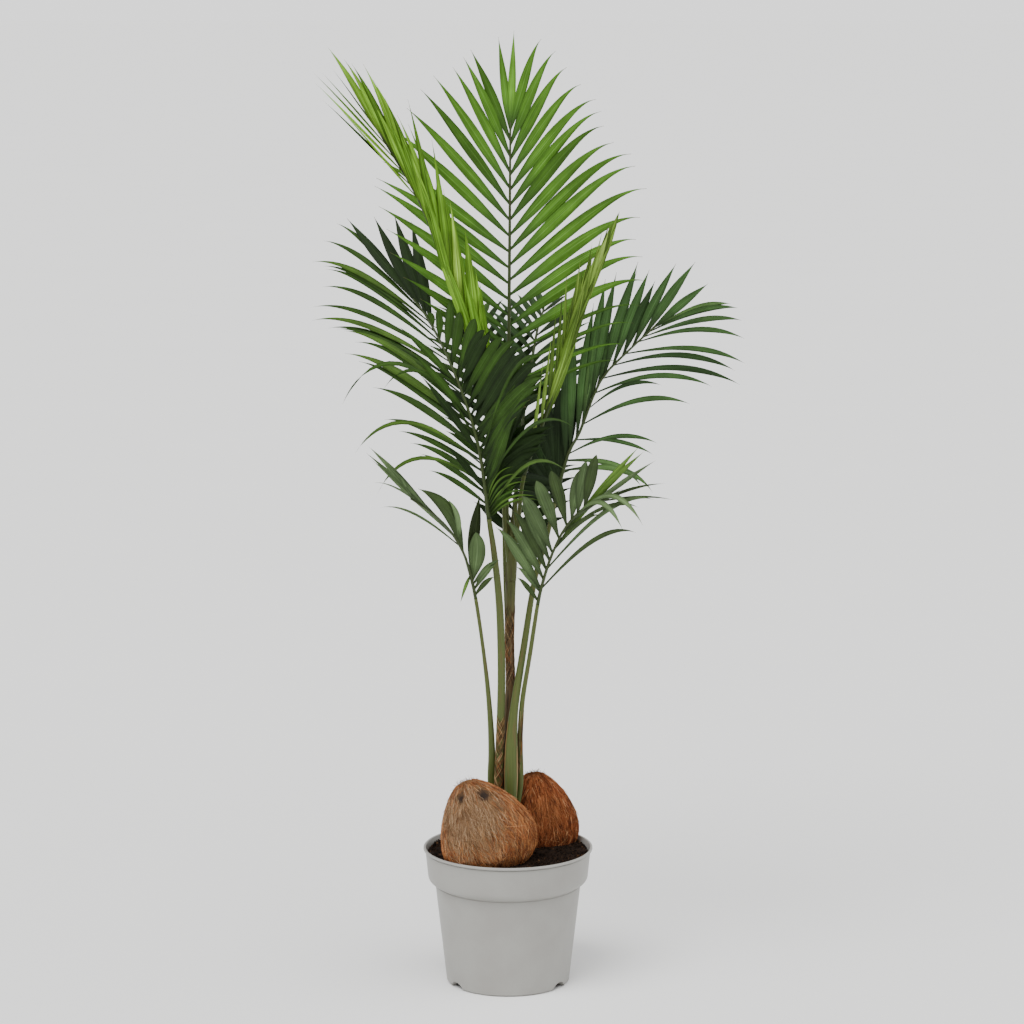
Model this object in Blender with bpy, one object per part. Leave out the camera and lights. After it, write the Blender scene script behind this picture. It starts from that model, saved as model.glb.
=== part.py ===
# Potted palm with feathered fronds, set with two husked coconuts in a grey plastic pot.
# Metres, +Z up, -Y towards the viewer. The origin is the middle of the pot's flat underside.
import math
from collections import namedtuple

import bmesh
import bpy
import numpy as np
from mathutils import Euler
from mathutils.bvhtree import BVHTree

# Pieces that touch keep this much clear of each other
GAP = 0.0003

# Pot: a turned tub with a collar and a bead at its lip
POT_SIDES = 40
POT_BASE_RADIUS = 0.0740
POT_FOOT_RADIUS = 0.0765
POT_BODY_TOP = (0.0904, 0.1236)
POT_COLLAR_FOOT = (0.0992, 0.1330)
POT_COLLAR_TOP = (0.1026, 0.1660)
POT_RIM_RADIUS = 0.1050
POT_HEIGHT = 0.1710
POT_WALL = 0.0022
POT_FLOOR = 0.0110
DRAIN_ANGLES = (-56, 56, 124, -124)
DRAIN_RADIUS = 0.0155
DRAIN_HEIGHT = 0.0085
DRAIN_DEPTH = 0.0225

# Soil: fills the pot to a little under its lip
SOIL_TOP = 0.1660
SOIL_EDGE = 0.1640

# Husked coconuts: an egg on its own axis, its half sizes, where it lies and how it is turned
Nut = namedtuple("Nut", "half centre turn taper")
NUTS = {
    "coconut_front": Nut((0.0570, 0.0430, 0.0635), (-0.0296, -0.0455, 0.2057), (-4, -22, 0), 0.33),
    "coconut_back": Nut((0.0477, 0.0360, 0.0583), (0.0375, 0.0435, 0.1976), (3, -5, 0), 0.30),
}
NUT_AROUND = 24
NUT_RINGS = 12
NUT_RIDGE = 0.01

# Trunk: middle line from the soil to the fork, and its radius at each of those points
TRUNK_LINE = (
    (-0.002, 0.008, SOIL_TOP + GAP), (-0.002, 0.009, 0.200), (-0.002, 0.010, 0.238), (-0.001, 0.011, 0.302),
    (0.003, 0.011, 0.374), (0.002, 0.010, 0.430), (0.003, 0.010, 0.480), (0.004, 0.009, 0.528),
)
TRUNK_RADII = (0.0115, 0.0086, 0.0068, 0.0060, 0.0056, 0.0056, 0.0062, 0.0070)
TRUNK_SIDES = 10

# Stalks and ribs
STALK_SIDES = 8
RIB_SIDES = 6
STEPS_PER_SPAN = 3

# Leaflets: stations along a leaflet, from its root to its point, for a pointed and for a blunt one
POINTED_STATIONS = np.array([0.0, 0.16, 0.45, 0.74, 1.0])
BLUNT_STATIONS = np.array([0.0, 0.16, 0.50, 0.86, 1.0])
LEAFLET_STEPS = 20
LEAFLET_FOOT = 0.0026
LEAFLET_THICKNESS = 0.011
CLEARANCE = 0.0005
TURN_ASIDE = (0, 7, -7, 14, -14, 22, -22, 30, -30)
DOWN = np.array([0.0, 0.0, -1.0])
ACROSS = np.array([1.0, 0.0, 0.0])

# A row of leaflets: how many, between which shares of the rib, which way they spread, then, foot to tip,
# degrees off the rib and length, the greatest width, the pull that bends a leaflet along its length, the
# roll of its blade at the foot and how far it untwists to its tip, both in degrees, where along its length
# it is widest, how blunt it ends, and how hard its tip hangs
Row = namedtuple("Row", "count span out sweep reach width pull roll twist full blunt hook")

# A frond: the seat of its stalk on the trunk (height and bearing in degrees, or a place on the fork),
# the points that its stalk and rib pass, the point where the rib starts, the radius at each point,
# seat included, its rows of leaflets, its colour and the seed of its small irregularities
Frond = namedtuple("Frond", "seat points rib_from radii rows colour seed")

MID_GREEN = "#4f7f2a"
YOUNG_GREEN = "#7f9f3c"
DARK_GREEN = "#2f5223"
BLUE_GREEN = "#33553a"
GREY_GREEN = "#4b6440"

FRONDS = {
    "tall": Frond(
        seat=(0.0035, 0.0125),
        points=((-0.001, 0.008, 0.580), (-0.001, 0.006, 0.632), (0.000, 0.020, 0.702),
                (0.001, 0.035, 0.793), (0.002, 0.045, 0.908), (0.003, 0.040, 1.063)),
        rib_from=2, radii=(0.0026, 0.0026, 0.0026, 0.0025, 0.0023, 0.0019, 0.0012),
        rows=(Row(17, (0.19, 0.95), (-0.97, -0.10, 0.00), (48, 49, 53, 54, 52, 55, 43, 34, 28, 22),
                  (0.074, 0.103, 0.151, 0.183, 0.207, 0.188, 0.190, 0.174, 0.148, 0.120), 0.0149,
                  (0, 0, -0.12), 8, -12, 0.42, 2, 0.1),
              Row(3, (0.22, 0.35), (0.97, -0.10, 0.00), (64, 63, 61), (0.153, 0.161, 0.175), 0.0076,
                  (0, 0, -0.2), -8, 12, 0.5, 2, 0.5),
              Row(13, (0.39, 0.98), (0.97, -0.10, 0.00), (58, 53, 48, 44, 38, 36, 26, 15),
                  (0.189, 0.177, 0.199, 0.187, 0.161, 0.153, 0.133, 0.114), 0.0170, (0, 0, -0.2), -8, 12,
                  0.42, 2, 0.5),
              Row(2, (0.98, 0.99), (-1.00, 0.00, 0.00), (8, -1), (0.115, 0.115), 0.0130, (0, 0, 0), 0, 0,
                  0.36, 2, 0)),
        colour=MID_GREEN, seed=1),
    "left": Frond(
        seat=(0.225, 222),
        points=((-0.011, 0.000, 0.262), (-0.009, -0.003, 0.330), (-0.008, -0.006, 0.400),
                (-0.0105, -0.010, 0.480), (-0.017, -0.021, 0.545), (-0.023, -0.030, 0.588),
                (-0.031, -0.035, 0.652), (-0.043, -0.030, 0.706), (-0.068, -0.005, 0.771),
                (-0.095, 0.030, 0.821), (-0.116, 0.049, 0.848)),
        rib_from=6, radii=(0.0055, 0.0054, 0.0049, 0.0048, 0.0045, 0.0038, 0.0030, 0.0022, 0.0018, 0.0016,
                           0.0014, 0.0012),
        rows=(Row(6, (0.06, 0.38), (-0.80, 0.50, 0.00), (55, 54, 60, 43, 39),
                  (0.091, 0.110, 0.135, 0.172, 0.211), 0.0118, (0, 0, -0.4), 50, -30, 0.52, 2, 0.1),
              Row(9, (0.42, 0.97), (-0.80, 0.50, 0.00), (32, 33, 34, 20, 20, 1),
                  (0.199, 0.217, 0.232, 0.214, 0.212, 0.165), 0.0093, (0, 0, -0.45), 62, -40, 0.58, 2,
                  0.15),
              Row(3, (0.12, 0.56), (-0.50, -0.10, 0.10), (29, 24, 22, 24), (0.076, 0.121, 0.108, 0.101),
                  0.0157, (0, 0, -0.2), -15, 0, 0.5, 2, 0.1),
              Row(3, (0.14, 0.40), (-0.80, 0.20, 0.30), (50, 43, 15, 23), (0.164, 0.188, 0.165, 0.221),
                  0.0070, (0, 0, -1.9), 40, -40, 0.6, 2, 0),
              Row(4, (0.85, 0.99), (0.75, 0.45, 0.30), (18, 15, 10, -2), (0.164, 0.163, 0.151, 0.143),
                  0.0165, (0, 0, -0.05), 0, 0, 0.5, 2, 0),
              Row(5, (0.10, 0.36), (0.72, -0.62, 0.10), (28, 40, 51, 66), (0.129, 0.138, 0.157, 0.149),
                  0.0263, (0.1, -0.2, -0.1), 0, 0, 0.46, 2.2, 0.5),
              Row(4, (0.34, 0.60), (0.70, -0.60, 0.20), (57, 59, 61, 60, 64),
                  (0.149, 0.130, 0.115, 0.088, 0.078), 0.0263, (0, -0.2, -0.15), 0, 0, 0.5, 3, 0.5),
              Row(4, (0.12, 0.66), (0.75, -0.20, 0.40), (36, 42, 44, 44, 40),
                  (0.100, 0.115, 0.105, 0.085, 0.060), 0.0250, (0, 0, -0.2), 14, 0, 0.48, 3, 0.2),
              Row(3, (0.58, 0.84), (0.60, -0.50, 0.30), (47, 44, 39, 28, 15),
                  (0.084, 0.071, 0.061, 0.037, 0.020), 0.0351, (0, -0.3, -0.2), 0, 0, 0.58, 3.6, 0.3),
              Row(2, (0.02, 0.24), (0.66, -0.70, 0.10), (42, 44, 31), (0.217, 0.221, 0.221), 0.0062,
                  (0.3, -0.4, -1.1), 30, -20, 0.66, 2, 0.3),
              Row(2, (0.00, 0.07), (0.72, -0.62, 0.10), (52, 38, 24), (0.088, 0.080, 0.066), 0.0062,
                  (0.9, -0.1, -0.9), 0, 0, 0.5, 2, 0),
              Row(3, (0.00, 0.20), (0.72, -0.30, 0.20), (40, 50, 60), (0.060, 0.095, 0.115), 0.0311,
                  (0, -0.1, -0.2), 10, 0, 0.5, 2.4, 0.3)),
        colour=DARK_GREEN, seed=2),
    "right": Frond(
        seat=(0.225, 292),
        points=((0.004, -0.0048, 0.262), (0.0045, -0.0045, 0.300), (0.008, -0.002, 0.349),
                (0.020, 0.008, 0.424), (0.033, 0.018, 0.504), (0.047, 0.025, 0.552), (0.0575, 0.032, 0.597),
                (0.074, 0.050, 0.655), (0.089, 0.062, 0.682), (0.114, 0.080, 0.742), (0.147, 0.092, 0.777),
                (0.184, 0.100, 0.810)),
        rib_from=7, radii=(0.0073, 0.0083, 0.0075, 0.0052, 0.0041, 0.0033, 0.0029, 0.0024, 0.0020, 0.0018,
                           0.0016, 0.0014, 0.0012),
        rows=(Row(9, (0.20, 0.98), (-0.60, -0.20, 0.70), (19, 30, 12, 14, 10, 25, 24, 22, -2),
                  (0.150, 0.172, 0.162, 0.166, 0.155, 0.141, 0.102, 0.123, 0.090), 0.0225, (0, 0, -0.1), 0,
                  0, 0.5, 2, 0),
              Row(8, (0.24, 0.88), (0.60, 0.30, -0.20), (41, 55, 40, 32, 43, 43, 32, 35, 28),
                  (0.129, 0.114, 0.153, 0.112, 0.161, 0.189, 0.173, 0.161, 0.142), 0.0086, (0.9, 0, -0.8),
                  30, -36, 0.64, 2, 0.4),
              Row(3, (0.92, 0.98), (0.60, 0.30, -0.20), (22, 17, 15), (0.134, 0.121, 0.107), 0.0125,
                  (0, 0, -0.5), 30, -10, 0.6, 2.4, 0),
              Row(2, (0.16, 0.21), (0.60, 0.30, -0.60), (66, 67), (0.149, 0.125), 0.0094, (0, 0, -1), 20,
                  -20, 0.6, 2, 0.6),
              Row(3, (0.00, 0.14), (-0.85, 0.30, 0.40), (24, 17, 12, 8), (0.092, 0.120, 0.131, 0.116),
                  0.0270, (0, 0, -0.1), 10, 0, 0.5, 3.4, 0.3),
              Row(2, (0.00, 0.12), (-0.85, 0.30, 0.40), (55, 45, 38), (0.085, 0.088, 0.080), 0.0311,
                  (0, 0, -0.1), 10, 0, 0.5, 2.4, 0.3),
              Row(2, (0.00, 0.10), (-0.85, 0.30, 0.40), (103, 97, 94), (0.054, 0.062, 0.068), 0.0324,
                  (0, 0, -0.1), 10, 0, 0.5, 2.4, 0.3)),
        colour=BLUE_GREEN, seed=3),
    "spear_left": Frond(
        seat=(0.0008, 0.006),
        points=((-0.004, 0.003, 0.581), (-0.006, 0.000, 0.631), (-0.014, -0.003, 0.693),
                (-0.027, -0.005, 0.748), (-0.055, -0.010, 0.822), (-0.080, -0.020, 0.901),
                (-0.106, -0.030, 0.973), (-0.152, -0.040, 1.053)),
        rib_from=2, radii=(0.0026, 0.0025, 0.0024, 0.0023, 0.0022, 0.0020, 0.0018, 0.0015, 0.0012),
        rows=(Row(6, (0.02, 0.56), (0.85, 0.20, 0.30), (-2, 3, 9, 17, 13, 7),
                  (0.178, 0.183, 0.165, 0.156, 0.148, 0.135), 0.0142, (0, 0, 0), -12, 0, 0.5, 2, 0),
              Row(2, (0.46, 0.66), (0.80, -0.10, 0.45), (17, 14, 9), (0.144, 0.179, 0.181), 0.0142,
                  (-0.1, 0, 0), 10, 0, 0.35, 1.6, 0),
              Row(8, (0.56, 1.00), (0.80, -0.10, 0.45), (8, 7, 6, 6, 8, 10, 10, 10, 4),
                  (0.194, 0.183, 0.172, 0.162, 0.161, 0.160, 0.142, 0.122, 0.118), 0.0110, (-0.25, 0, 0),
                  10, 0, 0.4, 2, 0),
              Row(3, (0.80, 1.00), (-0.40, -0.60, -0.30), (18, 23, 15, 15, 5),
                  (0.149, 0.161, 0.149, 0.130, 0.096), 0.0128, (-0.1, 0, 0), 30, 0, 0.35, 2, 0),
              Row(5, (0.02, 0.80), (0.55, -0.80, 0.20), (4, 5, 7, 6, 5),
                  (0.160, 0.160, 0.160, 0.150, 0.120), 0.0135, (-0.1, 0, 0), 60, 0, 0.5, 2, 0)),
        colour=YOUNG_GREEN, seed=4),
    "spear_right": Frond(
        seat=(0.0072, 0.006),
        points=((0.013, 0.002, 0.581), (0.020, 0.000, 0.637), (0.044, -0.004, 0.705),
                (0.063, -0.008, 0.762), (0.082, -0.012, 0.820), (0.107, -0.016, 0.885),
                (0.128, -0.020, 0.946)),
        rib_from=2, radii=(0.0026, 0.0025, 0.0024, 0.0022, 0.0020, 0.0018, 0.0015, 0.0012),
        rows=(Row(4, (0.10, 0.80), (-0.80, -0.45, 0.10), (16, 17, 18, 12, 7),
                  (0.116, 0.128, 0.119, 0.095, 0.070), 0.0111, (0, 0, 0), 10, 0, 0.36, 1.6, 0),
              Row(5, (0.20, 0.85), (-0.80, 0.35, 0.10), (6, 8, 7, 8, 5),
                  (0.138, 0.125, 0.105, 0.080, 0.049), 0.0142, (0, 0, 0), -12, 0, 0.5, 2, 0),
              Row(4, (0.19, 0.80), (-0.50, -0.85, 0.10), (4, 6, 6, 6, 3),
                  (0.143, 0.136, 0.120, 0.100, 0.078), 0.0142, (0, 0, 0), -62, 0, 0.5, 2, 0),
              Row(3, (0.17, 0.86), (0.50, -0.85, 0.10), (3, 3, 3, 3), (0.126, 0.116, 0.094, 0.060), 0.0135,
                  (0, 0, 0), 62, 0, 0.5, 2, 0)),
        colour=YOUNG_GREEN, seed=5),
    "low_right": Frond(
        seat=(0.205, 335),
        points=((0.0155, 0.002, 0.250), (0.015, 0.001, 0.305), (0.018, 0.000, 0.356),
                (0.027, -0.004, 0.414), (0.0365, -0.0125, 0.479), (0.043, -0.020, 0.509),
                (0.054, -0.035, 0.546), (0.070, -0.055, 0.582), (0.092, -0.080, 0.610),
                (0.120, -0.108, 0.630)),
        rib_from=5, radii=(0.0030, 0.0034, 0.0034, 0.0030, 0.0027, 0.0023, 0.0020, 0.0017, 0.0015, 0.0013,
                           0.0012),
        rows=(Row(2, (0.02, 0.08), (-0.60, -0.20, 0.50), (42, 45), (0.045, 0.050), 0.0120, (0, -0.2, -0.35),
                  20, 0, 0.5, 2, 0.3),
              Row(4, (0.10, 0.30), (-0.60, -0.20, 0.50), (40, 38, 37, 36), (0.110, 0.107, 0.104, 0.101),
                  0.0180, (0, -0.2, -0.25), 10, 0, 0.48, 2, 0.3),
              Row(3, (0.36, 0.58), (-0.60, -0.20, 0.50), (39, 39, 38), (0.101, 0.095, 0.092), 0.0225,
                  (0, -0.1, -0.1), 0, 0, 0.58, 3, 0.1),
              Row(3, (0.64, 0.78), (-0.60, -0.20, 0.50), (25, 28, 29), (0.087, 0.097, 0.102), 0.0195,
                  (0, -0.1, -0.1), 0, 0, 0.55, 2.6, 0.1),
              Row(3, (0.10, 0.52), (0.60, -0.30, -0.60), (25, 21, 14, 19), (0.174, 0.203, 0.095, 0.137),
                  0.0078, (0, 0, -0.6), 10, -10, 0.7, 2, 0.2),
              Row(3, (0.40, 0.60), (0.60, -0.30, 0.50), (13, 13, 17), (0.189, 0.164, 0.141), 0.0090,
                  (0, 0, -0.15), -15, 0, 0.6, 2, 0),
              Row(1, (0.74, 0.74), (0.60, -0.30, 0.50), (48,), (0.061,), 0.0100, (0, 0, -0.15), -15, 0, 0.6,
                  2, 0),
              Row(2, (0.70, 0.84), (0.80, 0.20, -0.30), (16, 21), (0.133, 0.107), 0.0058, (0.2, 0, -0.4), 0,
                  0, 0.55, 2, 0),
              Row(2, (0.68, 0.72), (0.60, -0.20, 0.60), (-7, -7), (0.106, 0.136), 0.0085, (0.3, 0, -2), 45,
                  0, 0.6, 2, 0)),
        colour=GREY_GREEN, seed=6),
    "low_left": Frond(
        seat=(0.212, 168),
        points=((-0.0203, 0.011, 0.250), (-0.020, 0.007, 0.293), (-0.0235, 0.001, 0.356),
                (-0.030, -0.006, 0.418), (-0.0395, -0.019, 0.488), (-0.0475, -0.032, 0.526),
                (-0.0545, -0.045, 0.550), (-0.069, -0.064, 0.578), (-0.090, -0.088, 0.604),
                (-0.115, -0.110, 0.625)),
        rib_from=5, radii=(0.0052, 0.0050, 0.0043, 0.0030, 0.0024, 0.0021, 0.0018, 0.0016, 0.0015, 0.0013,
                           0.0012),
        rows=(Row(2, (0.42, 0.62), (-0.60, 0.30, -0.20), (24, 6), (0.119, 0.138), 0.0058, (0, 0, -0.5), 20,
                  -20, 0.68, 2, 0.2),
              Row(2, (0.52, 0.80), (-0.60, 0.30, -0.20), (12, -11), (0.157, 0.158), 0.0085, (0, 0, -0.1),
                  20, 0, 0.55, 2, 0),
              Row(3, (0.66, 0.98), (-0.60, 0.30, -0.20), (2, -12, -26), (0.164, 0.117, 0.062), 0.0068,
                  (0, 0, -0.1), 20, 0, 0.55, 2, 0),
              Row(1, (0.36, 0.36), (0.60, -0.20, 0.80), (12,), (0.118,), 0.0215, (-0.9, 0, -0.3), 20, 0,
                  0.5, 2.4, 0),
              Row(1, (0.44, 0.44), (0.60, -0.20, 0.80), (27,), (0.070,), 0.0120, (-0.7, 0, -0.1), 20, 0,
                  0.5, 2.4, 0),
              Row(1, (0.12, 0.12), (0.60, -0.20, 0.80), (24,), (0.068,), 0.0320, (-0.5, 0, 0.2), 0, 0, 0.55,
                  2.6, 0),
              Row(1, (0.16, 0.16), (0.60, 0.30, 0.80), (24,), (0.104,), 0.0250, (0, 0, 0), 0, 0, 0.5, 2.4,
                  0),
              Row(3, (0.02, 0.10), (0.60, -0.20, 0.60), (44, 40, 47), (0.037, 0.047, 0.050), 0.0135,
                  (0, -0.2, -0.5), 0, 0, 0.55, 2, 0.2),
              Row(1, (0.17, 0.17), (-0.35, -0.30, -0.90), (125,), (0.036,), 0.0140, (0, 0, -0.3), 0, 0,
                  0.36, 2, 0)),
        colour=GREY_GREEN, seed=7),
    "back_left": Frond(
        seat=(0.44, 113),
        points=((-0.004, 0.030, 0.520), (-0.006, 0.052, 0.610), (-0.014, 0.100, 0.690),
                (-0.024, 0.155, 0.748), (-0.035, 0.210, 0.788), (-0.046, 0.262, 0.808)),
        rib_from=2, radii=(0.0024, 0.0023, 0.0022, 0.0020, 0.0018, 0.0015, 0.0012),
        rows=(Row(8, (0.10, 0.99), (-1.00, 0.10, 0.10), (44, 42, 40, 32, 14),
                  (0.085, 0.105, 0.110, 0.100, 0.090), 0.0230, (0, 0, -0.35), 15, 0, 0.45, 2, 0),
              Row(8, (0.07, 0.96), (1.00, 0.10, 0.10), (52, 46, 40, 34, 16),
                  (0.090, 0.115, 0.120, 0.105, 0.090), 0.0230, (0, 0, -0.35), -15, 0, 0.45, 2, 0)),
        colour=DARK_GREEN, seed=8),
    "back_right": Frond(
        seat=(0.47, 67),
        points=((0.008, 0.030, 0.540), (0.011, 0.052, 0.622), (0.020, 0.102, 0.702), (0.030, 0.158, 0.758),
                (0.038, 0.212, 0.796), (0.046, 0.264, 0.815)),
        rib_from=2, radii=(0.0024, 0.0023, 0.0022, 0.0020, 0.0018, 0.0015, 0.0012),
        rows=(Row(8, (0.10, 0.99), (-1.00, 0.10, 0.10), (50, 46, 40, 32, 14),
                  (0.090, 0.112, 0.116, 0.105, 0.090), 0.0230, (0, 0, -0.35), 15, 0, 0.45, 2, 0),
              Row(8, (0.07, 0.96), (1.00, 0.10, 0.10), (44, 42, 40, 32, 16),
                  (0.090, 0.110, 0.112, 0.100, 0.085), 0.0230, (0, 0, -0.35), -15, 0, 0.45, 2, 0)),
        colour=BLUE_GREEN, seed=9),
    "back_low": Frond(
        seat=(0.36, 92),
        points=((0.001, 0.032, 0.430), (0.003, 0.052, 0.520), (0.007, 0.092, 0.580), (0.012, 0.142, 0.612),
                (0.017, 0.192, 0.620), (0.022, 0.238, 0.610)),
        rib_from=2, radii=(0.0024, 0.0023, 0.0022, 0.0020, 0.0018, 0.0015, 0.0012),
        rows=(Row(6, (0.16, 0.99), (-1.00, 0.10, 0.10), (42, 38, 32, 26, 12),
                  (0.070, 0.085, 0.085, 0.080, 0.070), 0.0297, (0, 0, -0.45), 15, 0, 0.45, 2, 0),
              Row(6, (0.12, 0.96), (1.00, 0.10, 0.10), (52, 48, 42, 34, 16),
                  (0.080, 0.100, 0.105, 0.095, 0.075), 0.0297, (0, 0, -0.45), -15, 0, 0.45, 2, 0)),
        colour=DARK_GREEN, seed=10),
}


def unit(v):
    """A vector, or each row of an array of them, at length one."""
    v = np.asarray(v, float)
    return v / np.linalg.norm(v, axis=-1, keepdims=True)


def linear(hex_colour):
    """An sRGB hex colour as linear red, green, blue and alpha."""
    channels = [int(hex_colour[i:i + 2], 16) / 255 for i in (1, 3, 5)]
    return [c / 12.92 if c <= 0.04045 else ((c + 0.055) / 1.055) ** 2.4 for c in channels] + [1.0]


def material(name, colour, roughness):
    """A Principled material of one colour, shared by the pieces that name it."""
    made = bpy.data.materials.get(name)
    if made is None:
        made = bpy.data.materials.new(name)
        made.use_nodes = True
        shader = made.node_tree.nodes["Principled BSDF"]
        shader.inputs["Base Color"].default_value = linear(colour)
        shader.inputs["Roughness"].default_value = roughness
        shader.inputs["Metallic"].default_value = 0.0
    return made


def add_object(name, bm, look):
    """A new object from a bmesh, with its material."""
    mesh = bpy.data.meshes.new(name)
    bm.to_mesh(mesh)
    bm.free()
    obj = bpy.data.objects.new(name, mesh)
    bpy.context.collection.objects.link(obj)
    mesh.materials.append(look)
    return obj


def finish_smooth(obj, degrees=35):
    """Smooth shading with the sharp corners kept."""
    obj.data.shade_smooth()
    obj.data.set_sharp_from_angle(angle=math.radians(degrees))


def apply_modifiers(obj):
    """The object's mesh as its modifiers leave it, kept as its own mesh."""
    graph = bpy.context.evaluated_depsgraph_get()
    made = bpy.data.meshes.new_from_object(obj.evaluated_get(graph))
    obj.modifiers.clear()
    old = obj.data
    obj.data = made
    bpy.data.meshes.remove(old)
    made.name = obj.name


def turned(name, profile, sides, look):
    """A solid turned about Z from a profile of (radius, height) that starts and ends on the axis."""
    bm = bmesh.new()
    points = [bm.verts.new((r, 0.0, z)) for r, z in profile]
    edges = [bm.edges.new(pair) for pair in zip(points[:-1], points[1:])]
    bmesh.ops.spin(bm, geom=points + edges, cent=(0, 0, 0), axis=(0, 0, 1), angle=2 * math.pi, steps=sides)
    bmesh.ops.remove_doubles(bm, verts=bm.verts, dist=0.00001)
    bmesh.ops.recalc_face_normals(bm, faces=bm.faces)
    return add_object(name, bm, look)


def cut_with(obj, cutters):
    """Take the cutters out of the object, one exact Boolean each, and remove them."""
    for cutter in cutters:
        cutter.hide_render = True
        cutter.display_type = "WIRE"
        boolean = obj.modifiers.new("cut", "BOOLEAN")
        boolean.operation = "DIFFERENCE"
        boolean.object = cutter
    apply_modifiers(obj)
    for cutter in cutters:
        bpy.data.objects.remove(cutter)


def make_pot():
    """The tub: flat underside, sloping body, collar, bead and lip, with four arched drain notches."""
    inner_foot = POT_FOOT_RADIUS - POT_WALL
    inner_body = POT_BODY_TOP[0] - POT_WALL
    inner_collar = POT_COLLAR_FOOT[0] - POT_WALL
    profile = [
        (0.0, 0.0), (POT_BASE_RADIUS, 0.0), (POT_FOOT_RADIUS, 0.0022), POT_BODY_TOP,
        (0.0914, 0.1262), (0.0970, 0.1290), POT_COLLAR_FOOT, POT_COLLAR_TOP,
        (POT_RIM_RADIUS - 0.0006, 0.1672), (POT_RIM_RADIUS, 0.1684), (POT_RIM_RADIUS - 0.0006, 0.1704),
        (0.1034, POT_HEIGHT), (0.1022, 0.1700), (POT_COLLAR_TOP[0] - POT_WALL, 0.1640),
        (inner_collar, 0.1350), (inner_body, 0.1250), (inner_foot, POT_FLOOR), (0.0, POT_FLOOR),
    ]
    pot = turned("pot", profile, POT_SIDES, material("grey_plastic", "#a9a9a4", 0.5))
    cutters = []
    for angle in DRAIN_ANGLES:
        bm = bmesh.new()
        bmesh.ops.create_cone(bm, cap_ends=True, segments=20, radius1=DRAIN_RADIUS, radius2=DRAIN_RADIUS,
                              depth=2 * DRAIN_DEPTH)
        cutter = add_object("drain", bm, material("grey_plastic", "#a9a9a4", 0.5))
        bearing = math.radians(angle - 90)
        cutter.rotation_euler = (0.0, math.pi / 2, bearing)
        cutter.location = (POT_FOOT_RADIUS * math.cos(bearing), POT_FOOT_RADIUS * math.sin(bearing),
                           DRAIN_HEIGHT - DRAIN_RADIUS)
        cutters.append(cutter)
    bpy.context.view_layer.update()
    cut_with(pot, cutters)
    finish_smooth(pot)


def make_nut(name, nut, extra=0.0, colour="#8a5a34"):
    """A husked coconut: an egg with three soft ridges, `extra` metres larger all round."""
    bm = bmesh.new()
    bmesh.ops.create_uvsphere(bm, u_segments=NUT_AROUND, v_segments=NUT_RINGS, radius=1.0)
    half = [h + extra for h in nut.half]
    for vert in bm.verts:
        x, y, z = vert.co
        ridge = 1 + NUT_RIDGE * math.cos(3 * math.atan2(y, x)) * math.hypot(x, y)
        wide = ridge * (1 - nut.taper * z)
        vert.co = (half[0] * x * wide, half[1] * y * wide, half[2] * z)
    obj = add_object(name, bm, material("coconut_husk", colour, 0.85))
    obj.rotation_euler = Euler([math.radians(a) for a in nut.turn])
    obj.location = nut.centre
    finish_smooth(obj, 60)
    return obj


def make_soil():
    """The soil: fills the inside of the pot, with a hollow round each coconut."""
    inside = POT_WALL + 0.0004
    edge_share = (SOIL_EDGE - POT_COLLAR_FOOT[1]) / (POT_COLLAR_TOP[1] - POT_COLLAR_FOOT[1])
    edge_radius = POT_COLLAR_FOOT[0] + edge_share * (POT_COLLAR_TOP[0] - POT_COLLAR_FOOT[0]) - inside
    profile = [
        (0.0, POT_FLOOR + GAP), (POT_FOOT_RADIUS - inside, POT_FLOOR + GAP),
        (POT_BODY_TOP[0] - inside, 0.1250), (POT_COLLAR_FOOT[0] - inside, 0.1350),
        (edge_radius, SOIL_EDGE), (0.0880, SOIL_TOP), (0.0, SOIL_TOP),
    ]
    soil = turned("soil", profile, POT_SIDES, material("potting_soil", "#2a1d15", 0.95))
    hollows = [make_nut("hollow", nut, extra=GAP + 0.0002) for nut in NUTS.values()]
    bpy.context.view_layer.update()
    cut_with(soil, hollows)
    finish_smooth(soil)


def curve_through(points, values):
    """A smooth curve through the points, and the values at its vertices: each span between two points
    is a cubic whose end tangents join the neighbouring points, read at even steps."""
    p = np.asarray(points, float)
    p = np.vstack([2 * p[0] - p[1], p, 2 * p[-1] - p[-2]])
    t = (np.arange(STEPS_PER_SPAN) / STEPS_PER_SPAN)[:, None]
    spans = [0.5 * (2 * b + (c - a) * t + (2 * a - 5 * b + 4 * c - d) * t ** 2
                    + (3 * b - a - 3 * c + d) * t ** 3)
             for a, b, c, d in zip(p[:-3], p[1:-2], p[2:-1], p[3:])]
    line = np.vstack(spans + [p[-2:-1]])
    steps = np.arange(len(line)) / STEPS_PER_SPAN
    return line, np.interp(steps, np.arange(len(values)), values)


def headings(line):
    """The direction of a line at each of its vertices, from the vertices before and after."""
    ends = np.vstack([2 * line[0] - line[1], line, 2 * line[-1] - line[-2]])
    return unit(ends[2:] - ends[:-2])


def tube(line, ways, radii, sides):
    """A closed tube: a ring of vertices square to the line at each vertex, and two flat ends."""
    bm = bmesh.new()
    angles = 2 * math.pi * np.arange(sides) / sides
    u = unit(ACROSS - (ways @ ACROSS)[:, None] * ways)
    v = np.cross(ways, u)
    rings = []
    for centre, radius, a, b in zip(line, radii, u, v):
        ring = centre + radius * (np.cos(angles)[:, None] * a + np.sin(angles)[:, None] * b)
        rings.append([bm.verts.new(co) for co in ring])
    for low, high in zip(rings[:-1], rings[1:]):
        for k in range(sides):
            n = (k + 1) % sides
            bm.faces.new((low[k], low[n], high[n], high[k]))
    bm.faces.new(list(reversed(rings[0])))
    bm.faces.new(rings[-1])
    return bm


def collision_tree(bm):
    """A tree of the faces of a bmesh, for testing whether two pieces cross."""
    return BVHTree.FromBMesh(bm)


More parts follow.
